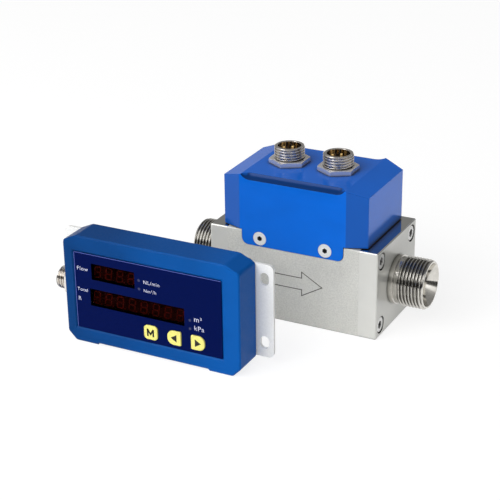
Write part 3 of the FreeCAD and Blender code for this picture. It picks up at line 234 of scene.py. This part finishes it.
def turned(name, place, inside, outside, thread):
    # inside and outside are (distance, radius) lines from the low end to the high end
    start, end, major, pitch, depth = thread
    rows = [(z, r, False) for z, r in reversed(inside)]
    rows += [(z, r, False) for z, r in outside if z < start]
    steps = math.ceil((end - start) / pitch * THREAD_STEPS)
    for i in range(steps + 1):
        z = start + (end - start) * i / steps
        rows.append((z, outline_radius(outside, z), True))
    rows += [(z, r, False) for z, r in outside if z > end]
    points = []
    for z, limit, threaded in rows:
        for j in range(TURN_STEPS):
            angle = 2 * math.pi * j / TURN_STEPS
            radius = limit
            if threaded:
                radius = min(limit, major - depth * groove(z / pitch - j / TURN_STEPS))
            points.append(place @ Vector((radius * math.cos(angle), radius * math.sin(angle), z)))
    faces = []
    count = len(rows)
    for i in range(count):
        low = i * TURN_STEPS
        high = (i + 1) % count * TURN_STEPS
        for j in range(TURN_STEPS):
            following = (j + 1) % TURN_STEPS
            faces.append((low + j, low + following, high + following, high + j))
    made = mesh_object(name, points, faces)
    smooth_with_creases(made.data)
    return made


def strip(start, end, width):
    # four corners of a straight line of the given width
    along = (end - start).normalized()
    across = Vector((-along.y, along.x)) * (width / 2)
    start = start - along * (width / 2)
    end = end + along * (width / 2)
    return [start + across, start - across, end - across, end + across]


def printed(name, outlines, front):
    # flat shapes given in (x, z), printed on a face that looks along -Y at y = front
    points = []
    faces = []
    for outline in outlines:
        base = len(points)
        count = len(outline)
        for depth in (0.0, PRINT_THICKNESS):
            points += [Vector((p.x, front - depth, p.y)) for p in outline]
        faces.append(tuple(range(base, base + count)))
        faces.append(tuple(range(base + 2 * count - 1, base + count - 1, -1)))
        for i in range(count):
            j = (i + 1) % count
            faces.append((base + i, base + count + i, base + count + j, base + j))
    return mesh_object(name, points, faces)


def lettering(name, text, left, baseline, width, front):
    curve = bpy.data.curves.new(name, "FONT")
    curve.body = text
    curve.size = 1.0
    curve.space_character = LETTER_SPACING
    made = add_object(name, curve)
    graph = bpy.context.evaluated_depsgraph_get()
    flat = bpy.data.meshes.new_from_object(made.evaluated_get(graph))
    bpy.data.objects.remove(made)
    low = min(v.co.x for v in flat.vertices)
    high = max(v.co.x for v in flat.vertices)
    scale = width / (high - low)
    for vertex in flat.vertices:
        x, y = vertex.co.xy
        vertex.co = (left + (x - low) * scale, front - PRINT_THICKNESS, baseline + y * scale)
    flat.update()
    return add_object(name, flat)


# Materials

def add_node(tree, kind, inputs=None, **settings):
    # inputs are plain values or sockets to link
    made = tree.nodes.new(kind)
    for key, value in settings.items():
        setattr(made, key, value)
    for key, value in (inputs or {}).items():
        if isinstance(value, bpy.types.NodeSocket):
            tree.links.new(value, made.inputs[key])
        else:
            made.inputs[key].default_value = value
    return made


def rgb(red, green, blue):
    # a colour as the photograph shows it, 0 to 255, in scene values
    shares = [v / 255 for v in (red, green, blue)]
    return [((s + 0.055) / 1.055) ** 2.4 if s > 0.04 else s / 12.92 for s in shares] + [1.0]


def shade(colour, factor):
    return [min(1.0, c * factor) for c in colour[:3]] + [1.0]


class Finish:
    """A Principled material under construction, textured in the object's own space."""

    def __init__(self, name, colour, metallic=0.0, roughness=0.5, **sockets):
        self.material = bpy.data.materials.new(name)
        self.material.use_nodes = True
        self.tree = self.material.node_tree
        self.shader = self.tree.nodes["Principled BSDF"]
        self.colour = colour
        self.roughness = roughness
        self.shader.inputs["Base Color"].default_value = colour
        self.shader.inputs["Metallic"].default_value = metallic
        self.shader.inputs["Roughness"].default_value = roughness
        # a socket's name has _ for each space
        for key, value in sockets.items():
            self.shader.inputs[key.replace("_", " ")].default_value = value
        self.place = self.node("ShaderNodeTexCoord").outputs["Object"]
        rounded = self.node("ShaderNodeBevel", {"Radius": EDGE_RADIUS}, samples=6)
        self.normal = rounded.outputs["Normal"]
        self.tree.links.new(self.normal, self.shader.inputs["Normal"])

    def node(self, kind, inputs=None, **settings):
        return add_node(self.tree, kind, inputs, **settings)

    def noise(self, per_mm, detail=2.0, place=None):
        # per_mm: number of grains per millimetre along x, y and z
        scale = [v / MM for v in per_mm]
        spread = self.node("ShaderNodeMapping", {"Vector": place or self.place, "Scale": scale})
        texture = self.node(
            "ShaderNodeTexNoise",
            {"Vector": spread.outputs["Vector"], "Scale": 1.0, "Detail": detail},
        )
        return texture.outputs[0]

    def ranged(self, value, low, high, source=(0.3, 0.7)):
        found = self.node("ShaderNodeMapRange", {
            "Value": value,
            "From Min": source[0],
            "From Max": source[1],
            "To Min": low,
            "To Max": high,
        })
        return found.outputs["Result"]

    def mix(self, factor, first, second):
        made = self.node("ShaderNodeMix", {0: factor, 6: first, 7: second}, data_type="RGBA")
        return made.outputs[2]

    def tint(self, factor, low, high):
        # the colour runs from low to high times the base colour
        share = self.ranged(factor, 0.0, 1.0)
        return self.coat(self.mix(share, shade(self.colour, low), shade(self.colour, high)))

    def coat(self, skin):
        self.skin = skin
        self.tree.links.new(skin, self.shader.inputs["Base Color"])
        return self

    def paint_recess_shade(self, reach, dark, openness=(0.25, 0.85)):
        # painted shade: recesses and sockets go darker the less open they are, by ambient
        # occlusion
        hidden = self.node("ShaderNodeAmbientOcclusion", {"Distance": reach}, samples=8)
        share = self.ranged(hidden.outputs["AO"], 0.0, 1.0, source=openness)
        return self.coat(self.mix(share, shade(self.colour, dark), self.skin))

    def facing(self):
        # the direction that the surface looks in, as X, Y and Z
        outward = self.node("ShaderNodeTexCoord").outputs["Normal"]
        return self.node("ShaderNodeSeparateXYZ", {0: outward}).outputs

    def paint_slant_shade(self, first, second, source, dark):
        # painted shade: surfaces that look along both directions at once take a darker tone
        both = self.node("ShaderNodeMath", {0: first, 1: second}, operation="MULTIPLY")
        slant = self.node("ShaderNodeMath", {0: both.outputs[0]}, operation="ABSOLUTE")
        share = self.ranged(slant.outputs[0], 0.0, 1.0, source=source)
        return self.coat(self.mix(share, self.skin, shade(self.colour, dark)))

    def rough(self, factor, low, high):
        value = self.ranged(factor, self.roughness * low, self.roughness * high)
        self.tree.links.new(value, self.shader.inputs["Roughness"])
        return self

    def relief(self, factor, strength, depth):
        bump = self.node("ShaderNodeBump", {
            "Height": factor,
            "Strength": strength,
            "Distance": depth,
            "Normal": self.normal,
        })
        self.normal = bump.outputs["Normal"]
        self.tree.links.new(self.normal, self.shader.inputs["Normal"])
        return self

    def radial_place(self, centre, axis):
        # (distance along the axis, distance from the axis, 0), for turning marks
        offset = self.node(
            "ShaderNodeVectorMath", {0: self.place, 1: list(centre)}, operation="SUBTRACT"
        ).outputs[0]
        across = [0.0 if abs(a) > 0.5 else 1.0 for a in axis]
        flat = self.node("ShaderNodeVectorMath", {0: offset, 1: across}, operation="MULTIPLY")
        radius = self.node("ShaderNodeVectorMath", {0: flat.outputs[0]}, operation="LENGTH")
        along = self.node(
            "ShaderNodeVectorMath", {0: offset, 1: list(axis)}, operation="DOT_PRODUCT"
        )
        joined = self.node("ShaderNodeCombineXYZ", {
            "X": along.outputs["Value"],
            "Y": radius.outputs["Value"],
        })
        return joined.outputs[0]


def blasted_metal():
    made = Finish("blasted_aluminium", rgb(214, 214, 208), metallic=0.28, roughness=0.45)
    grain = made.noise((1.5, 1.5, 1.5), detail=4.0)
    cloud = made.noise((0.05, 0.05, 0.05), detail=1.0)
    # painted shade darkens the colour in recesses and next to other parts
    made.tint(made.mix(0.3, grain, cloud), 0.8, 1.1).paint_recess_shade(1.2 * MM, 0.4)
    made.rough(cloud, 0.9, 1.15)
    return made.relief(grain, 0.35, 0.02 * MM).material


def milled_metal():
    # the top is ground smooth, the other faces keep the marks of the mill
    made = Finish("milled_aluminium", rgb(217, 217, 212), metallic=0.35, roughness=0.36)
    brushing = made.noise((0.15, 6.0, 0.15), detail=2.0)
    cloud = made.noise((0.06, 0.06, 0.06), detail=1.0)
    # painted shade darkens the colour in recesses and next to other parts
    made.tint(made.mix(0.4, cloud, brushing), 0.94, 1.04).paint_recess_shade(2.0 * MM, 0.3)
    upper = made.ranged(made.facing()["Z"], 0.0, 1.0, source=(0.5, 0.9))
    ground = made.ranged(brushing, 0.06, 0.1)
    milled = made.ranged(brushing, 0.3, 0.42)
    blend = made.node("ShaderNodeMix", {0: upper, 2: milled, 3: ground}, data_type="FLOAT")
    made.tree.links.new(blend.outputs[0], made.shader.inputs["Roughness"])
    bare = made.ranged(upper, 0.35, 1.0, source=(0.0, 1.0))
    made.tree.links.new(bare, made.shader.inputs["Metallic"])
    return made.relief(brushing, 0.08, 0.01 * MM).material


def turned_metal(name, centre, axis, colour, roughness):
    made = Finish(name, colour, metallic=1.0, roughness=roughness)
    lines = made.noise((9.0, 9.0, 0.0), detail=2.0, place=made.radial_place(centre, axis))
    cloud = made.noise((0.25, 0.25, 0.25), detail=2.0)
    # painted shade darkens the colour in the bore and other recesses
    made.tint(cloud, 0.88, 1.05).paint_recess_shade(2.4 * MM, 0.1, (0.3, 0.95))
    made.rough(lines, 0.7, 1.5)
    return made.relief(lines, 0.15, 0.01 * MM).material


def anodised_metal():
    made = Finish(
        "blue_anodised", rgb(7, 110, 226), metallic=0.2, roughness=0.16, Specular_IOR_Level=0.25
    )
    grain = made.noise((2.6, 2.6, 2.6), detail=3.0)
    cloud = made.noise((0.04, 0.04, 0.08), detail=2.0)
    # painted shade darkens the colour in recesses and in the coves
    made.tint(made.mix(0.2, cloud, grain), 0.94, 1.05).paint_recess_shade(5.0 * MM, 0.1, (0.45, 0.9))
    facing = made.facing()
    # painted shade: the coves look up and outwards at once, the corner facets along X and Y, and
    # both are drawn darker
    made.paint_slant_shade(facing["Y"], facing["Z"], (0.02, 0.12), 0.22)
    made.paint_slant_shade(facing["X"], facing["Y"], (0.2, 0.3), 0.6)
    made.rough(grain, 0.92, 1.1)
    return made.relief(grain, 0.04, 0.01 * MM).material


def bright_metal(
    name, colour, roughness, metallic=1.0, hidden=0.12, reach=1.0, openness=(0.25, 0.85)
):
    # hidden: share of the colour left in recesses by the painted shade, reach: how near in mm
    # their walls are
    made = Finish(name, colour, metallic=metallic, roughness=roughness)
    grain = made.noise((1.6, 1.6, 1.6), detail=3.0)
    # painted shade darkens the colour in recesses and sockets
    made.tint(grain, 0.95, 1.03).paint_recess_shade(reach * MM, hidden, openness)
    made.rough(grain, 0.85, 1.2)
    return made.relief(grain, 0.02, 0.01 * MM).material


def painted_housing():
    made = Finish("blue_paint", rgb(4, 78, 152), roughness=0.34, Specular_IOR_Level=0.08)
    peel = made.noise((0.9, 0.9, 0.9), detail=2.0)
    cloud = made.noise((0.03, 0.03, 0.05), detail=1.0)
    low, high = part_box("display_housing")
    across = made.node("ShaderNodeSeparateXYZ", {0: made.place}).outputs["X"]
    # painted shade: across X the paint runs from darker on the left to lighter on the right,
    # three quarters of its tone from this gradient and a quarter from a slow random cloud
    left_to_right_painted_shade = made.ranged(across, 0.2, 0.8, source=(low.x, high.x))
    made.tint(made.mix(0.75, cloud, left_to_right_painted_shade), 0.58, 1.3)
    made.rough(peel, 0.85, 1.2)
    return made.relief(peel, 0.04, 0.01 * MM).material


def moulded(name, colour, roughness=0.45, grains=2.5, strength=0.15, **sockets):
    made = Finish(name, colour, roughness=roughness, **sockets)
    grain = made.noise((grains, grains, grains), detail=3.0)
    made.tint(grain, 0.9, 1.08)
    made.rough(grain, 0.85, 1.2)
    return made.relief(grain, strength, 0.02 * MM).material


def filter_glass():
    made = Finish(
        "dark_red_filter", rgb(142, 90, 84), roughness=0.05, IOR=1.03,
        Transmission_Weight=1.0, Specular_IOR_Level=0.0,
    )
    grain = made.noise((0.6, 0.6, 0.6), detail=1.0)
    made.tint(grain, 0.95, 1.05)
    return made.rough(grain, 0.8, 1.3).material


def circuit_board():
    made = Finish("circuit_board", rgb(18, 92, 48), roughness=0.35)
    tracks = made.node("ShaderNodeTexBrick", {
        "Vector": made.place,
        "Color1": rgb(20, 98, 52),
        "Color2": rgb(14, 80, 42),
        "Mortar": rgb(60, 140, 84),
        "Scale": 0.28 / MM,
        "Mortar Size": 0.03,
    })
    made.tree.links.new(tracks.outputs["Color"], made.shader.inputs["Base Color"])
    return made.relief(tracks.outputs["Fac"], 0.2, 0.03 * MM).material


port_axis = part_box("port_outlet")[0].lerp(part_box("port_outlet")[1], 0.5)
materials = {
    "block": blasted_metal(),
    "plate": milled_metal(),
    "port": turned_metal("turned_steel", port_axis, (1, 0, 0), rgb(220, 217, 210), 0.12),
    "cover": anodised_metal(),
    "fastener": bright_metal(
        "bright_steel", rgb(248, 248, 246), 0.36, metallic=0.4, hidden=0.02, reach=2.8,
        openness=(0.5, 0.95),
    ),
    "seal": moulded("rubber", rgb(28, 28, 30), roughness=0.7),
    "sensor": bright_metal("sensor_steel", rgb(190, 190, 188), 0.3),
    "circuit": circuit_board(),
    "chip": moulded("chip_resin", rgb(26, 26, 28), roughness=0.5),
    "connector": bright_metal("nickel", rgb(228, 222, 214), 0.09, hidden=0.04),
    "insert": moulded("insert_resin", rgb(48, 32, 16), roughness=0.5),
    "contact": bright_metal("gold", rgb(250, 212, 140), 0.25, metallic=0.6, hidden=0.6),
    "housing": painted_housing(),
    "panel": moulded(
        "panel_film", rgb(1, 16, 74), roughness=0.33, grains=5.0, strength=0.04,
        Specular_IOR_Level=0.03,
    ),
    "window": filter_glass(),
    "digits": moulded("digit_body", rgb(90, 96, 98), roughness=0.6, Specular_IOR_Level=0.0),
    "key": moulded("yellow_key", rgb(250, 240, 130), roughness=0.4),
    "lamp": moulded("lamp_lens", rgb(36, 44, 92), roughness=0.2),
    "bracket": bright_metal("bracket_steel", rgb(252, 252, 249), 0.4, metallic=0.06, hidden=0.7),
}
nut_nickel = bright_metal(
    "nut_nickel", rgb(238, 234, 230), 0.22, metallic=0.72, hidden=0.08, reach=1.3
)
segment_red = moulded("segment_red", rgb(176, 132, 120), roughness=0.6, Specular_IOR_Level=0.0)
print_white = moulded("print_white", rgb(218, 220, 244), roughness=0.5)
painted_edge_highlight = moulded("painted_edge_highlight", rgb(84, 100, 186), roughness=0.4)
print_black = moulded("print_black", rgb(20, 16, 10), roughness=0.5)
mask_black = moulded("mask_black", rgb(5, 5, 20), roughness=0.5, Specular_IOR_Level=0.05)
arrow_line = moulded("arrow_cut", rgb(84, 82, 78), roughness=0.6)

for subpart in frame["record"]["subparts"]:
    for slot in nodes[subpart["node"]].material_slots:
        slot.material = materials[subpart["material_slot"]]


def finished(piece, slot, body="meter", replaced=(), material=None):
    piece.data.materials.clear()
    piece.data.materials.append(material or materials[slot])
    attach(piece, body)
    if replaced:
        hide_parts(*replaced)
    return piece


# Threaded ports

def make_port(end, side):
    node = "port_" + end
    low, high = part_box(node)
    plate_low, plate_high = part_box("plate_" + end)
    face = plate_high.x if side > 0 else plate_low.x
    reach = (high.x - face) if side > 0 else (face - low.x)
    spigot = (high.x - low.x) - reach
    thread = thread_radius(end + "_thread")
    outside = [
        (-spigot, PORT_SPIGOT_RADIUS),
        (-TINY, PORT_SPIGOT_RADIUS),
        (0.0, PORT_COLLAR_RADIUS),
        (PORT_COLLAR_LENGTH, PORT_COLLAR_RADIUS),
        (PORT_COLLAR_LENGTH + PORT_STEP, PORT_NECK_RADIUS),
        (PORT_THREAD_START, PORT_NECK_RADIUS),
        (PORT_THREAD_START + PORT_LEAD_LENGTH, thread),
        (reach - PORT_LEAD_LENGTH, thread),
        (reach, thread - PORT_LEAD_HEIGHT),
    ]
    inside = [
        (-spigot, PORT_BORE_RADIUS),
        (reach - PORT_CONE_DEPTH, PORT_BORE_RADIUS),
        (reach, thread - PORT_RIM_WIDTH),
    ]
    place = place_on_axis(Vector((face, port_axis.y, port_axis.z)), X_AXIS * side)
    cut = (PORT_THREAD_START, reach, thread, PORT_PITCH, PORT_GROOVE)
    return turned(node + "_threaded", place, inside, outside, cut)


for end, side in (("inlet", -1), ("outlet", 1)):
    finished(make_port(end, side), "port", replaced=["port_" + end])


# Threaded barrels of the panel connectors: the CAD shell up to its nut, then the cut thread

def make_barrel(name, axis, major):
    shell_low, shell_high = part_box(name + "_shell")
    nut_low, nut_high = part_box(name + "_nut")
    middle = (nut_low + nut_high) / 2
    half_nut = abs((nut_high - nut_low).dot(axis)) / 2
    top = max(shell_low.dot(axis), shell_high.dot(axis)) - middle.dot(axis)
    insert_low, insert_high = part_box(name + "_insert")
    size = insert_high - insert_low
    # the insert's radius is its smallest half size, unless that one lies along the axis
    socket = min(size.x, size.y, size.z) / 2
    if abs(size.dot(axis)) < 2 * socket + TINY:
        socket = max(size.x, size.y, size.z) / 2
    outside = [(half_nut, major), (top - BARREL_LEAD, major), (top, major - BARREL_LEAD)]
    rim = BARREL_LEAD / 2
    inside = [(half_nut, socket), (top - rim, socket), (top, socket + rim)]
    place = place_on_axis(middle, axis)
    cut = (half_nut, top, major, CONNECTOR_PITCH, CONNECTOR_GROOVE)
    barrel = turned(name + "_thread", place, inside, outside, cut)
    shell = add_object(name + "_stem", nodes[name + "_shell"].data.copy())
    shaped = bmesh.new()
    shaped.from_mesh(shell.data)
    bmesh.ops.bisect_plane(
        shaped,
        geom=shaped.verts[:] + shaped.edges[:] + shaped.faces[:],
        plane_co=middle + axis * half_nut,
        plane_no=axis,
        clear_outer=True,
    )
    shaped.to_mesh(shell.data)
    shaped.free()
    return barrel, shell


for name, axis, corner in CONNECTORS:
    barrel, shell = make_barrel(name, axis, thread_radius(name + "_thread"))
    finished(barrel, "connector", replaced=[name + "_shell"])
    finished(shell, "connector")


# Hex nuts of the panel connectors, with crisp flats

def hex_radius(across_flats, angle):
    # distance from the middle to the side of a hexagon with a corner at angle 0
    sixth = math.pi / 3
    return across_flats / 2 / math.cos(angle % sixth - sixth / 2)


def make_nut(name, axis, corner):
    node = name + "_nut"
    low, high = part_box(node)
    middle = (low + high) / 2
    thickness = abs((high - low).dot(axis))
    across_corners = abs((high - low).dot(corner))
    flats = across_corners * math.cos(math.pi / 6)
    hole = thread_radius(name + "_thread") - NUT_CLEARANCE
    base = middle - axis * (thickness / 2)
    side = axis.cross(corner)
    slope = math.tan(NUT_SLOPE)
    heights = [0.0]
    heights += [thickness - NUT_FACE * (NUT_ROWS - i) / NUT_ROWS for i in range(NUT_ROWS + 1)]
    # each ring is a circle of the chamfer's cone, cut by the hexagon, and the first and last
    # are the ends of the hole
    rings = [(0.0, hole)]
    rings += [(z, flats / 2 - NUT_LAND + (thickness - z) / slope) for z in heights]
    rings.append((thickness, hole))
    points = []
    for z, limit in rings:
        for j in range(TURN_STEPS):
            angle = 2 * math.pi * j / TURN_STEPS
            radius = min(limit, hex_radius(flats, angle))
            spoke = corner * math.cos(angle) + side * math.sin(angle)
            points.append(base + axis * z + spoke * radius)
    faces = []
    for i in range(len(rings)):
        start = i * TURN_STEPS
        above = (i + 1) % len(rings) * TURN_STEPS
        for j in range(TURN_STEPS):
            k = (j + 1) % TURN_STEPS
            faces.append((start + j, start + k, above + k, above + j))
    made = mesh_object(name + "_hexagon", points, faces)
    smooth_with_creases(made.data, NUT_SHARP)
    return finished(made, "connector", replaced=[node], material=nut_nickel)


for name, axis, corner in CONNECTORS:
    make_nut(name, axis, corner)


# Flow arrow on the block

block_low, block_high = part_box("flow_block")
block_middle = (block_low.z + block_high.z) / 2


def arrow_point(x, z):
    return Vector((x, block_middle + ARROW_MIDDLE + z))


arrow_path = [
    arrow_point(ARROW_TAIL_X, ARROW_SHAFT),
    arrow_point(ARROW_BARB_X, ARROW_SHAFT),
    arrow_point(ARROW_BARB_X, ARROW_BARB),
    arrow_point(ARROW_TIP_X, 0.0),
    arrow_point(ARROW_BARB_X, -ARROW_BARB),
    arrow_point(ARROW_BARB_X, -ARROW_SHAFT),
    arrow_point(ARROW_TAIL_X, -ARROW_SHAFT),
    arrow_point(ARROW_TAIL_X, ARROW_SHAFT),
]
arrow = printed(
    "flow_arrow",
    [strip(a, b, ARROW_LINE) for a, b in zip(arrow_path, arrow_path[1:])],
    block_low.y,
)
finished(arrow, "block", material=arrow_line)


# Seven segment digits behind the windows

def segment(start, end):
    # a bar with pointed ends
    along = (end - start).normalized()
    across = Vector((-along.y, along.x)) * (SEGMENT_WIDTH / 2)
    start = start + along * SEGMENT_GAP
    end = end - along * SEGMENT_GAP
    point = along * (SEGMENT_WIDTH / 2)
    return [
        start,
        start + point - across,
        end - point - across,
        end,
        end - point + across,
        start + point + across,
    ]


def digit_outlines(centre, width, height):
    half_x = width / 2
    half_z = height / 2
    corners = {
        name: centre + Vector((sx * half_x + sz * half_z * DIGIT_SLANT, sz * half_z))
        for name, sx, sz in (
            ("top_left", -1, 1),
            ("top_right", 1, 1),
            ("left", -1, 0),
            ("right", 1, 0),
            ("low_left", -1, -1),
            ("low_right", 1, -1),
        )
    }
    bars = [
        ("top_left", "top_right"),
        ("left", "right"),
        ("low_left", "low_right"),
        ("top_left", "left"),
        ("left", "low_left"),
        ("top_right", "right"),
        ("right", "low_right"),
    ]
    outlines = [segment(corners[a], corners[b]) for a, b in bars]
    dot = corners["low_right"] + Vector((DOT_OFFSET, 0.0))
    ring = [2 * math.pi * i / DOT_SIDES for i in range(DOT_SIDES)]
    spokes = [Vector((math.cos(a), math.sin(a))) for a in ring]
    outlines.append([dot + spoke * (SEGMENT_WIDTH / 2) for spoke in spokes])
    return outlines


def make_digits(node, count):
    low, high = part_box(node)
    front = low.y + DIGIT_SETBACK
    body = add_object(node + "_body", nodes[node].data.copy())
    for vertex in body.data.vertices:
        vertex.co.y = max(vertex.co.y, front)
    pitch = (high.x - low.x) / count
    middle = (low.z + high.z) / 2 - DIGIT_DROP
    height = (high.z - low.z) * DIGIT_HEIGHT_SHARE
    outlines = []
    for i in range(count):
        centre = Vector((low.x - DIGIT_SHIFT + (i + DIGIT_MIDDLE) * pitch, middle))
        outlines += digit_outlines(centre, pitch * DIGIT_WIDTH_SHARE, height)
    bars = printed(node + "_segments", outlines, front)
    return body, bars


for node, count in (("digits_flow", 4), ("digits_total", 8)):
    body, bars = make_digits(node, count)
    finished(body, "digits", replaced=[node])
    finished(bars, "digits", material=segment_red)


# Black mask round each window, printed on its face

for node in ("window_flow", "window_total"):
    low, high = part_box(node)
    inset = MASK_WIDTH / 2
    left, right = low.x + inset, high.x - inset
    foot, head = low.z + inset, high.z - inset
    corners = [Vector(p) for p in ((left, foot), (right, foot), (right, head), (left, head))]
    frames = [strip(a, b, MASK_WIDTH) for a, b in zip(corners, corners[1:] + corners[:1])]
    finished(printed(node + "_mask", frames, low.y), "window", material=mask_black)


# Lettering on the panel and symbols on the keys

panel_low, panel_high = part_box("display_panel")
for name, text, left, baseline, width in LABELS:
    made = lettering(
        name, text, panel_low.x + left * MM, panel_low.z + baseline * MM, width * MM, panel_low.y
    )
    finished(made, "panel", material=print_white)

# painted highlight: a pale strip along the top and left sides of the panel film stands for the
# light caught by its edge
edge_place = EDGE_INSET + EDGE_WIDTH / 2
edge_corner = Vector((panel_low.x + edge_place, panel_high.z - edge_place))
edge_right = Vector((panel_high.x - edge_place, edge_corner.y))
edge_foot = Vector((edge_corner.x, panel_low.z + edge_place))
edges = printed(
    "panel_edge",
    [strip(edge_corner, edge_right, EDGE_WIDTH), strip(edge_foot, edge_corner, EDGE_WIDTH)],
    panel_low.y,
)
finished(edges, "panel", material=painted_edge_highlight)


def make_key(name):
    low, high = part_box(name)
    cap = add_object(name + "_cap", nodes[name].data.copy())
    for vertex in cap.data.vertices:
        vertex.co.y = max(vertex.co.y, low.y + KEY_RECESS)
    finished(cap, "key", body=name, replaced=[name])
    half = SYMBOL_SIZE / 2
    middle = Vector(((low.x + high.x) / 2, (low.z + high.z) / 2))
    if name == "key_mode":
        inner = half - SYMBOL_STROKE / 2
        valley = -MODE_VALLEY * half
        corners = [
            (-inner, -inner), (-inner, inner), (0.0, valley), (inner, inner), (inner, -inner)
        ]
        line = [middle + Vector(p) for p in corners]
        outlines = [strip(a, b, SYMBOL_STROKE) for a, b in zip(line, line[1:])]
    else:
        side = -half if name == "key_left" else half
        base = -TRIANGLE_BASE * side
        corners = [(TRIANGLE_TIP * side, 0.0), (base, half), (base, -half)]
        outlines = [[middle + Vector(p) for p in corners]]
    symbol = printed(name + "_symbol", outlines, low.y + KEY_RECESS)
    finished(symbol, "key", body=name, material=print_black)


for name in ("key_mode", "key_left", "key_right"):
    make_key(name)


# Floor, light and camera

def grey(level):
    return (level, level, level, 1.0)


def stage_material():
    # pale floor: the camera and mirrors see it nearly white, and it keeps the shadow
    made = bpy.data.materials.new("pale_floor")
    made.use_nodes = True
    tree = made.node_tree
    tree.nodes.clear()
    diffuse = add_node(tree, "ShaderNodeBsdfDiffuse", {"Color": grey(FLOOR_TONE)})
    glow = add_node(tree, "ShaderNodeEmission", {"Color": grey(1.0), "Strength": FLOOR_GLOW})
    rays = add_node(tree, "ShaderNodeLightPath").outputs
    seen = rays["Is Camera Ray"]
    for kind in ("Is Glossy Ray", "Is Transmission Ray"):
        seen = add_node(tree, "ShaderNodeMath", {0: seen, 1: rays[kind]}, operation="MAXIMUM")
        seen = seen.outputs[0]
    share = add_node(tree, "ShaderNodeMath", {0: seen, 1: FLOOR_SHARE}, operation="MULTIPLY")
    mixed = add_node(tree, "ShaderNodeMixShader", {
        0: share.outputs[0],
        1: diffuse.outputs[0],
        2: glow.outputs[0],
    })
    add_node(tree, "ShaderNodeOutputMaterial", {"Surface": mixed.outputs[0]})
    return made


floor = mesh_object(
    "floor",
    [(-FLOOR_HALF, -FLOOR_HALF, 0), (FLOOR_HALF, -FLOOR_HALF, 0),
     (FLOOR_HALF, FLOOR_HALF, 0), (-FLOOR_HALF, FLOOR_HALF, 0)],
    [(0, 1, 2, 3)],
)
floor.data.materials.append(stage_material())


def ramp(tree, value, stops):
    made = add_node(tree, "ShaderNodeValToRGB", {"Fac": value})
    line = made.color_ramp
    line.interpolation = "EASE"
    while len(line.elements) < len(stops):
        line.elements.new(0.5)
    for element, (place, level) in zip(line.elements, stops):
        element.position = place
        element.color = grey(level)
    return made.outputs["Color"]


def make_world():
    # white to the camera; to the object a studio that is bright in front, and dimmer behind,
    # above and on the right
    world = bpy.data.worlds.new("studio")
    bpy.context.scene.world = world
    world.use_nodes = True
    tree = world.node_tree
    tree.nodes.clear()
    direction = add_node(tree, "ShaderNodeTexCoord").outputs["Generated"]
    parts = add_node(tree, "ShaderNodeSeparateXYZ", {0: direction}).outputs
    rear = add_node(tree, "ShaderNodeMapRange", {
        "Value": parts["Y"],
        "From Min": FRONT_TO_REAR[0],
        "From Max": FRONT_TO_REAR[1],
    }, interpolation_type="SMOOTHSTEP")
    strength = add_node(tree, "ShaderNodeMapRange", {
        "Value": parts["X"],
        "From Min": LEFT_TO_RIGHT[0],
        "From Max": LEFT_TO_RIGHT[1],
        "To Min": LEFT_STRENGTH,
        "To Max": RIGHT_STRENGTH,
    }, interpolation_type="SMOOTHSTEP")
    levels = add_node(tree, "ShaderNodeMix", {
        0: rear.outputs["Result"],
        6: ramp(tree, parts["Z"], FRONT_LEVELS),
        7: ramp(tree, parts["Z"], REAR_LEVELS),
    }, data_type="RGBA")
    studio = add_node(tree, "ShaderNodeBackground", {
        "Color": levels.outputs[2],
        "Strength": strength.outputs["Result"],
    })
    plain = add_node(tree, "ShaderNodeBackground", {"Color": grey(1.0)})
    mixed = add_node(tree, "ShaderNodeMixShader", {
        0: add_node(tree, "ShaderNodeLightPath").outputs["Is Camera Ray"],
        1: studio.outputs[0],
        2: plain.outputs[0],
    })
    add_node(tree, "ShaderNodeOutputWorld", {"Surface": mixed.outputs[0]})


def add_lamp(name, position, size, power, mirrored):
    light = bpy.data.lights.new(name, "AREA")
    light.shape = "SQUARE"
    light.size = size
    light.energy = power
    lamp = add_object(name, light)
    lamp.location = position
    lamp.visible_glossy = mirrored
    lamp.rotation_euler = (-Vector(position)).to_track_quat("-Z", "Y").to_euler()


def add_camera():
    back = Vector((
        math.sin(CAMERA_AZIMUTH) * math.cos(CAMERA_ELEVATION),
        -math.cos(CAMERA_AZIMUTH) * math.cos(CAMERA_ELEVATION),
        math.sin(CAMERA_ELEVATION),
    ))
    level = Vector((math.cos(CAMERA_AZIMUTH), math.sin(CAMERA_AZIMUTH), 0.0))
    upright = back.cross(level)
    right = level * math.cos(CAMERA_ROLL) + upright * math.sin(CAMERA_ROLL)
    up = back.cross(right)
    data = bpy.data.cameras.new("camera")
    data.lens = CAMERA_LENS
    data.sensor_width = CAMERA_SENSOR
    camera = add_object("camera", data)
    turn = Matrix((right, up, back)).transposed().to_4x4()
    camera.matrix_world = Matrix.Translation(CAMERA_TARGET + back * CAMERA_DISTANCE) @ turn
    bpy.context.scene.camera = camera


make_world()
for lamp in LAMPS:
    add_lamp(*lamp)
add_camera()
bpy.context.scene.view_settings.view_transform = "Standard"
